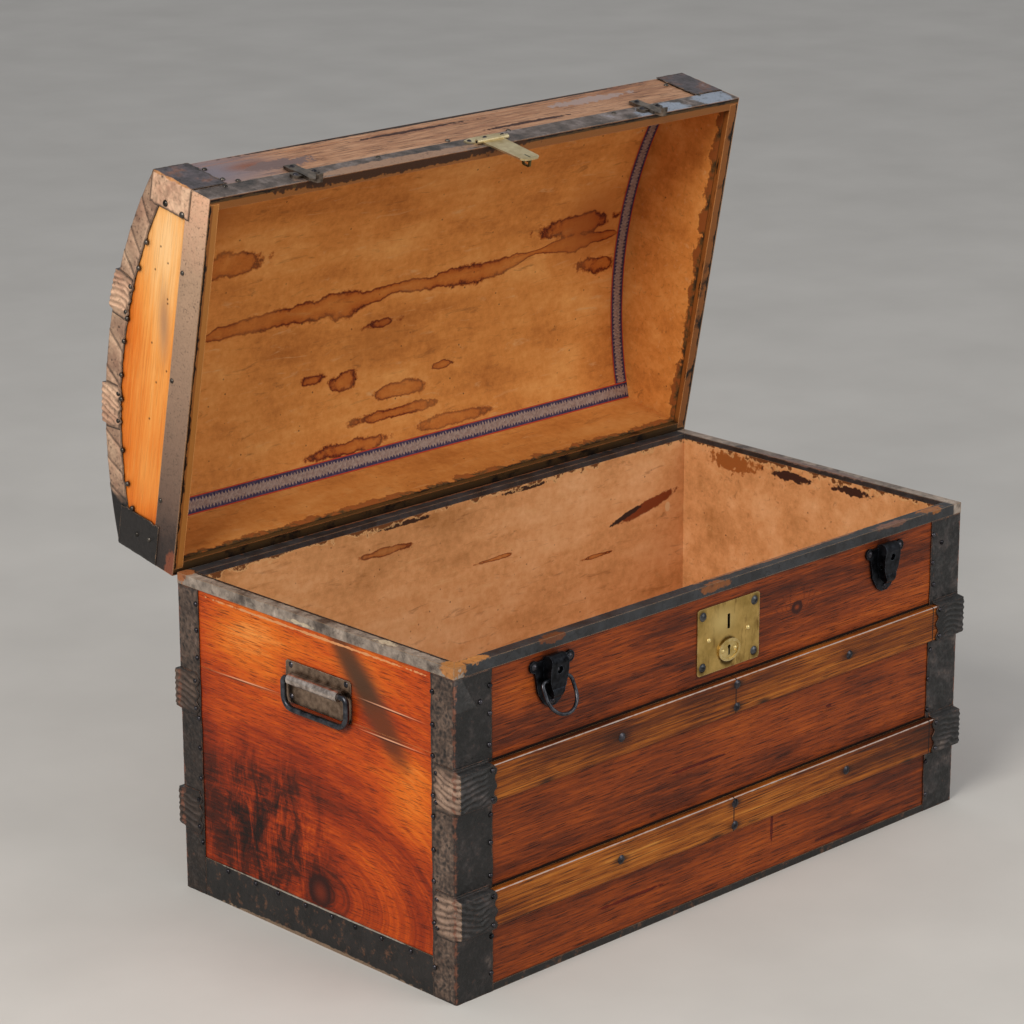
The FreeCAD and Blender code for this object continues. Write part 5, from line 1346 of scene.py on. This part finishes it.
picks = add(tree, "Math", {0: run, 1: 1.0}, operation="PINGPONG")
picks = add(tree, "MapRange", {"Value": picks, "From Min": 0.30, "From Max": 0.62, "To Min": 0.35})
marks = add(tree, "Math", {0: marks, 1: picks}, operation="MULTIPLY")
ground = add(tree, "ValToRGB", {0: fray}, stops=[(0.35, "#2A2648"), (0.65, "#4C3C58")])
pale = add(tree, "ValToRGB", {0: fray}, stops=[(0.38, "#A28878"), (0.62, "#B8A494")])
woven = add(tree, "Mix", {"Factor": marks, "A": ground, "B": pale}, data_type="RGBA")
selvedge = add(tree, "MapRange", {"Value": wide, "From Min": 0.43, "From Max": 0.45})
woven = add(tree, "Mix", {"Factor": selvedge, "A": woven, "B": colour("#BC3A1C")}, data_type="RGBA")
tree.links.new(woven.outputs[2], shader.inputs["Base Color"])
shader.inputs["Roughness"].default_value = 0.85
thread = add(tree, "Bump", {"Height": marks, "Strength": 0.5, "Distance": 0.0005})
tree.links.new(thread.outputs[0], shader.inputs["Normal"])


def tape(name, along_dome, x, low, high, steps):
    """One tape from low to high: along the dome at angle x, or else round its arch at place x."""
    bm = bmesh.new()
    uvs = bm.loops.layers.uv.new("weave")
    bmesh.ops.create_grid(bm, x_segments=steps, y_segments=4, size=1.0)
    spread = {}
    for vert in bm.verts:
        p, q = (vert.co.x + 1) / 2, vert.co.y
        run = low + p * (high - low)
        sag = 0.25 * noise.noise(Vector((run / 18, q, x)))
        if along_dome:
            angle = x + q * TAPE_WIDE / 2 / TAPE_R
            across, length = run, (run - low)
        else:
            angle = run
            across, length = x + q * TAPE_WIDE / 2, TAPE_R * (run - low)
        r = TAPE_R - 0.3 + 0.2 * sag
        spread[vert] = (length / 1000, (q + 1) / 2)
        vert.co = (across, r * math.sin(angle), DOME_AXIS_Z + r * math.cos(angle))
    for face in bm.faces:
        for loop in face.loops:
            loop[uvs].uv = spread[loop.vert]
    bm.normal_update()
    face = next(iter(bm.faces))
    if face.normal.dot(face.calc_center_median() - Vector((0.0, 0.0, DOME_AXIS_Z))) > 0:
        bmesh.ops.reverse_faces(bm, faces=bm.faces[:])
    bmesh.ops.transform(bm, matrix=OPENED, verts=bm.verts)
    obj = piece(name, bm, tape_weave, "lid")
    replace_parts(obj, "lid_tapes")


SEAM = math.radians(23.65 - 1.16)    # the seam's angle on the dome, less half a tape
ARCH = math.radians(21.32)           # where the arch tapes end
SEAM_TAPE = 419.4                    # half the length of a seam tape
ARCH_TAPE = 408.7                    # place of an arch tape's middle
tape("seam_tape_back", True, SEAM, -SEAM_TAPE, SEAM_TAPE, 160)
tape("seam_tape_front", True, -SEAM, -SEAM_TAPE, SEAM_TAPE, 160)
tape("arch_tape_left", False, -ARCH_TAPE, -ARCH, ARCH, 90)
tape("arch_tape_right", False, ARCH_TAPE, -ARCH, ARCH, 90)

# ---- Lid hardware
# Cast iron catches that the latches close over and a brass hasp hinged on its small leaf, nailed
# to the lid's front wall.

# Japanned cast iron, handled more than the latches, so grey brown metal shows through; it is
# painted lighter as well, a painted highlight on the catches.
lid_cast = metal("black_cast_iron_lid", "#3A332E", "#96897C", 0.40, place=lid_point, worn="#94887C")
coat(lid_cast, "latch_catches")
coat(nail_steel, "lid_hardware_nails")

# Rolled brass worn clean by the hand: pale yellow and shining, with brown only in patches.
pale_brass = metal("worn_pale_brass", "#C8B07A", "#F2E4BC", 0.36, place=lid_point, scale=0.05,
                   worn="#F4ECD0")
coat(pale_brass, "hasp_plate", "hasp_tongue")

# The staple is cast brass that nobody rubs, tarnished to olive brown.
dull_brass = metal("dull_brass", "#4E4C34", "#7A7448", 0.42, place=lid_point)
coat(dull_brass, "hasp_staple")
coat(nail_steel, "hasp_pin")

# ---- Floor, light and camera
# A pale floor under a big soft light from the left and a weaker one from the right, in a grey
# room, seen through a long lens.
scene = bpy.context.scene

# Matt painted floor, mottled so faintly that it only keeps the grey from looking flat.
floor_paint, tree, shader = blank_material("pale_floor")
mottle = add(tree, "TexNoise", {"Vector": case_point(tree), "Scale": 0.004, "Detail": 5.0})
tint = add(tree, "ValToRGB", {0: mottle}, stops=[(0.3, "#C6C4C1"), (0.7, "#CFCDCA")])
tree.links.new(tint.outputs[0], shader.inputs["Base Color"])
shader.inputs["Roughness"].default_value = 0.9
bm = bmesh.new()
bmesh.ops.create_grid(bm, x_segments=1, y_segments=1, size=30.0)
mesh = bpy.data.meshes.new("floor")
bm.to_mesh(mesh)
bm.free()
mesh.materials.append(floor_paint)
floor = bpy.data.objects.new("floor", mesh)
scene.collection.objects.link(floor)

world = bpy.data.worlds.new("studio")
world.use_nodes = True
sky = world.node_tree.nodes["Background"]
sky.inputs["Color"].default_value = colour("#EDEDED")
sky.inputs["Strength"].default_value = 0.50
scene.world = world


def soft_light(name, place, size, power, tint):
    """A square area light aimed at the middle of the trunk."""
    light = bpy.data.lights.new(name, "AREA")
    light.size = size
    light.energy = power
    light.color = colour(tint)[:3]
    obj = bpy.data.objects.new(name, light)
    obj.location = place
    aim = Vector((0.0, 0.0, 0.35)) - Vector(place)
    obj.rotation_euler = aim.to_track_quat("-Z", "Y").to_euler()
    scene.collection.objects.link(obj)


soft_light("key", (-3.2, -0.9, 2.8), 1.6, 108.0, "#FFF8EE")
soft_light("fill", (1.2, -3.2, 2.2), 2.2, 38.0, "#FFFCF6")

YAW = math.radians(44.3139)      # the camera looks this far right of straight ahead
DOWN = math.radians(17.2314)
ROLL = math.radians(-0.145)
ahead = Vector((math.sin(YAW) * math.cos(DOWN), math.cos(YAW) * math.cos(DOWN), -math.sin(DOWN)))
right = Vector((math.cos(YAW), -math.sin(YAW), 0.0))
up = right.cross(ahead)
right, up = (math.cos(ROLL) * right + math.sin(ROLL) * up,
             math.cos(ROLL) * up - math.sin(ROLL) * right)
lens = bpy.data.cameras.new("camera")
lens.lens = 121.75
lens.sensor_width = 36.0
lens.clip_start = 0.1
lens.clip_end = 100.0
camera = bpy.data.objects.new("camera", lens)
turn = Matrix((right, up, -ahead)).transposed().to_4x4()
camera.matrix_world = Matrix.Translation((-2.81769, -2.76751, 1.64905)) @ turn
scene.collection.objects.link(camera)
scene.camera = camera
scene.view_settings.view_transform = "Standard"
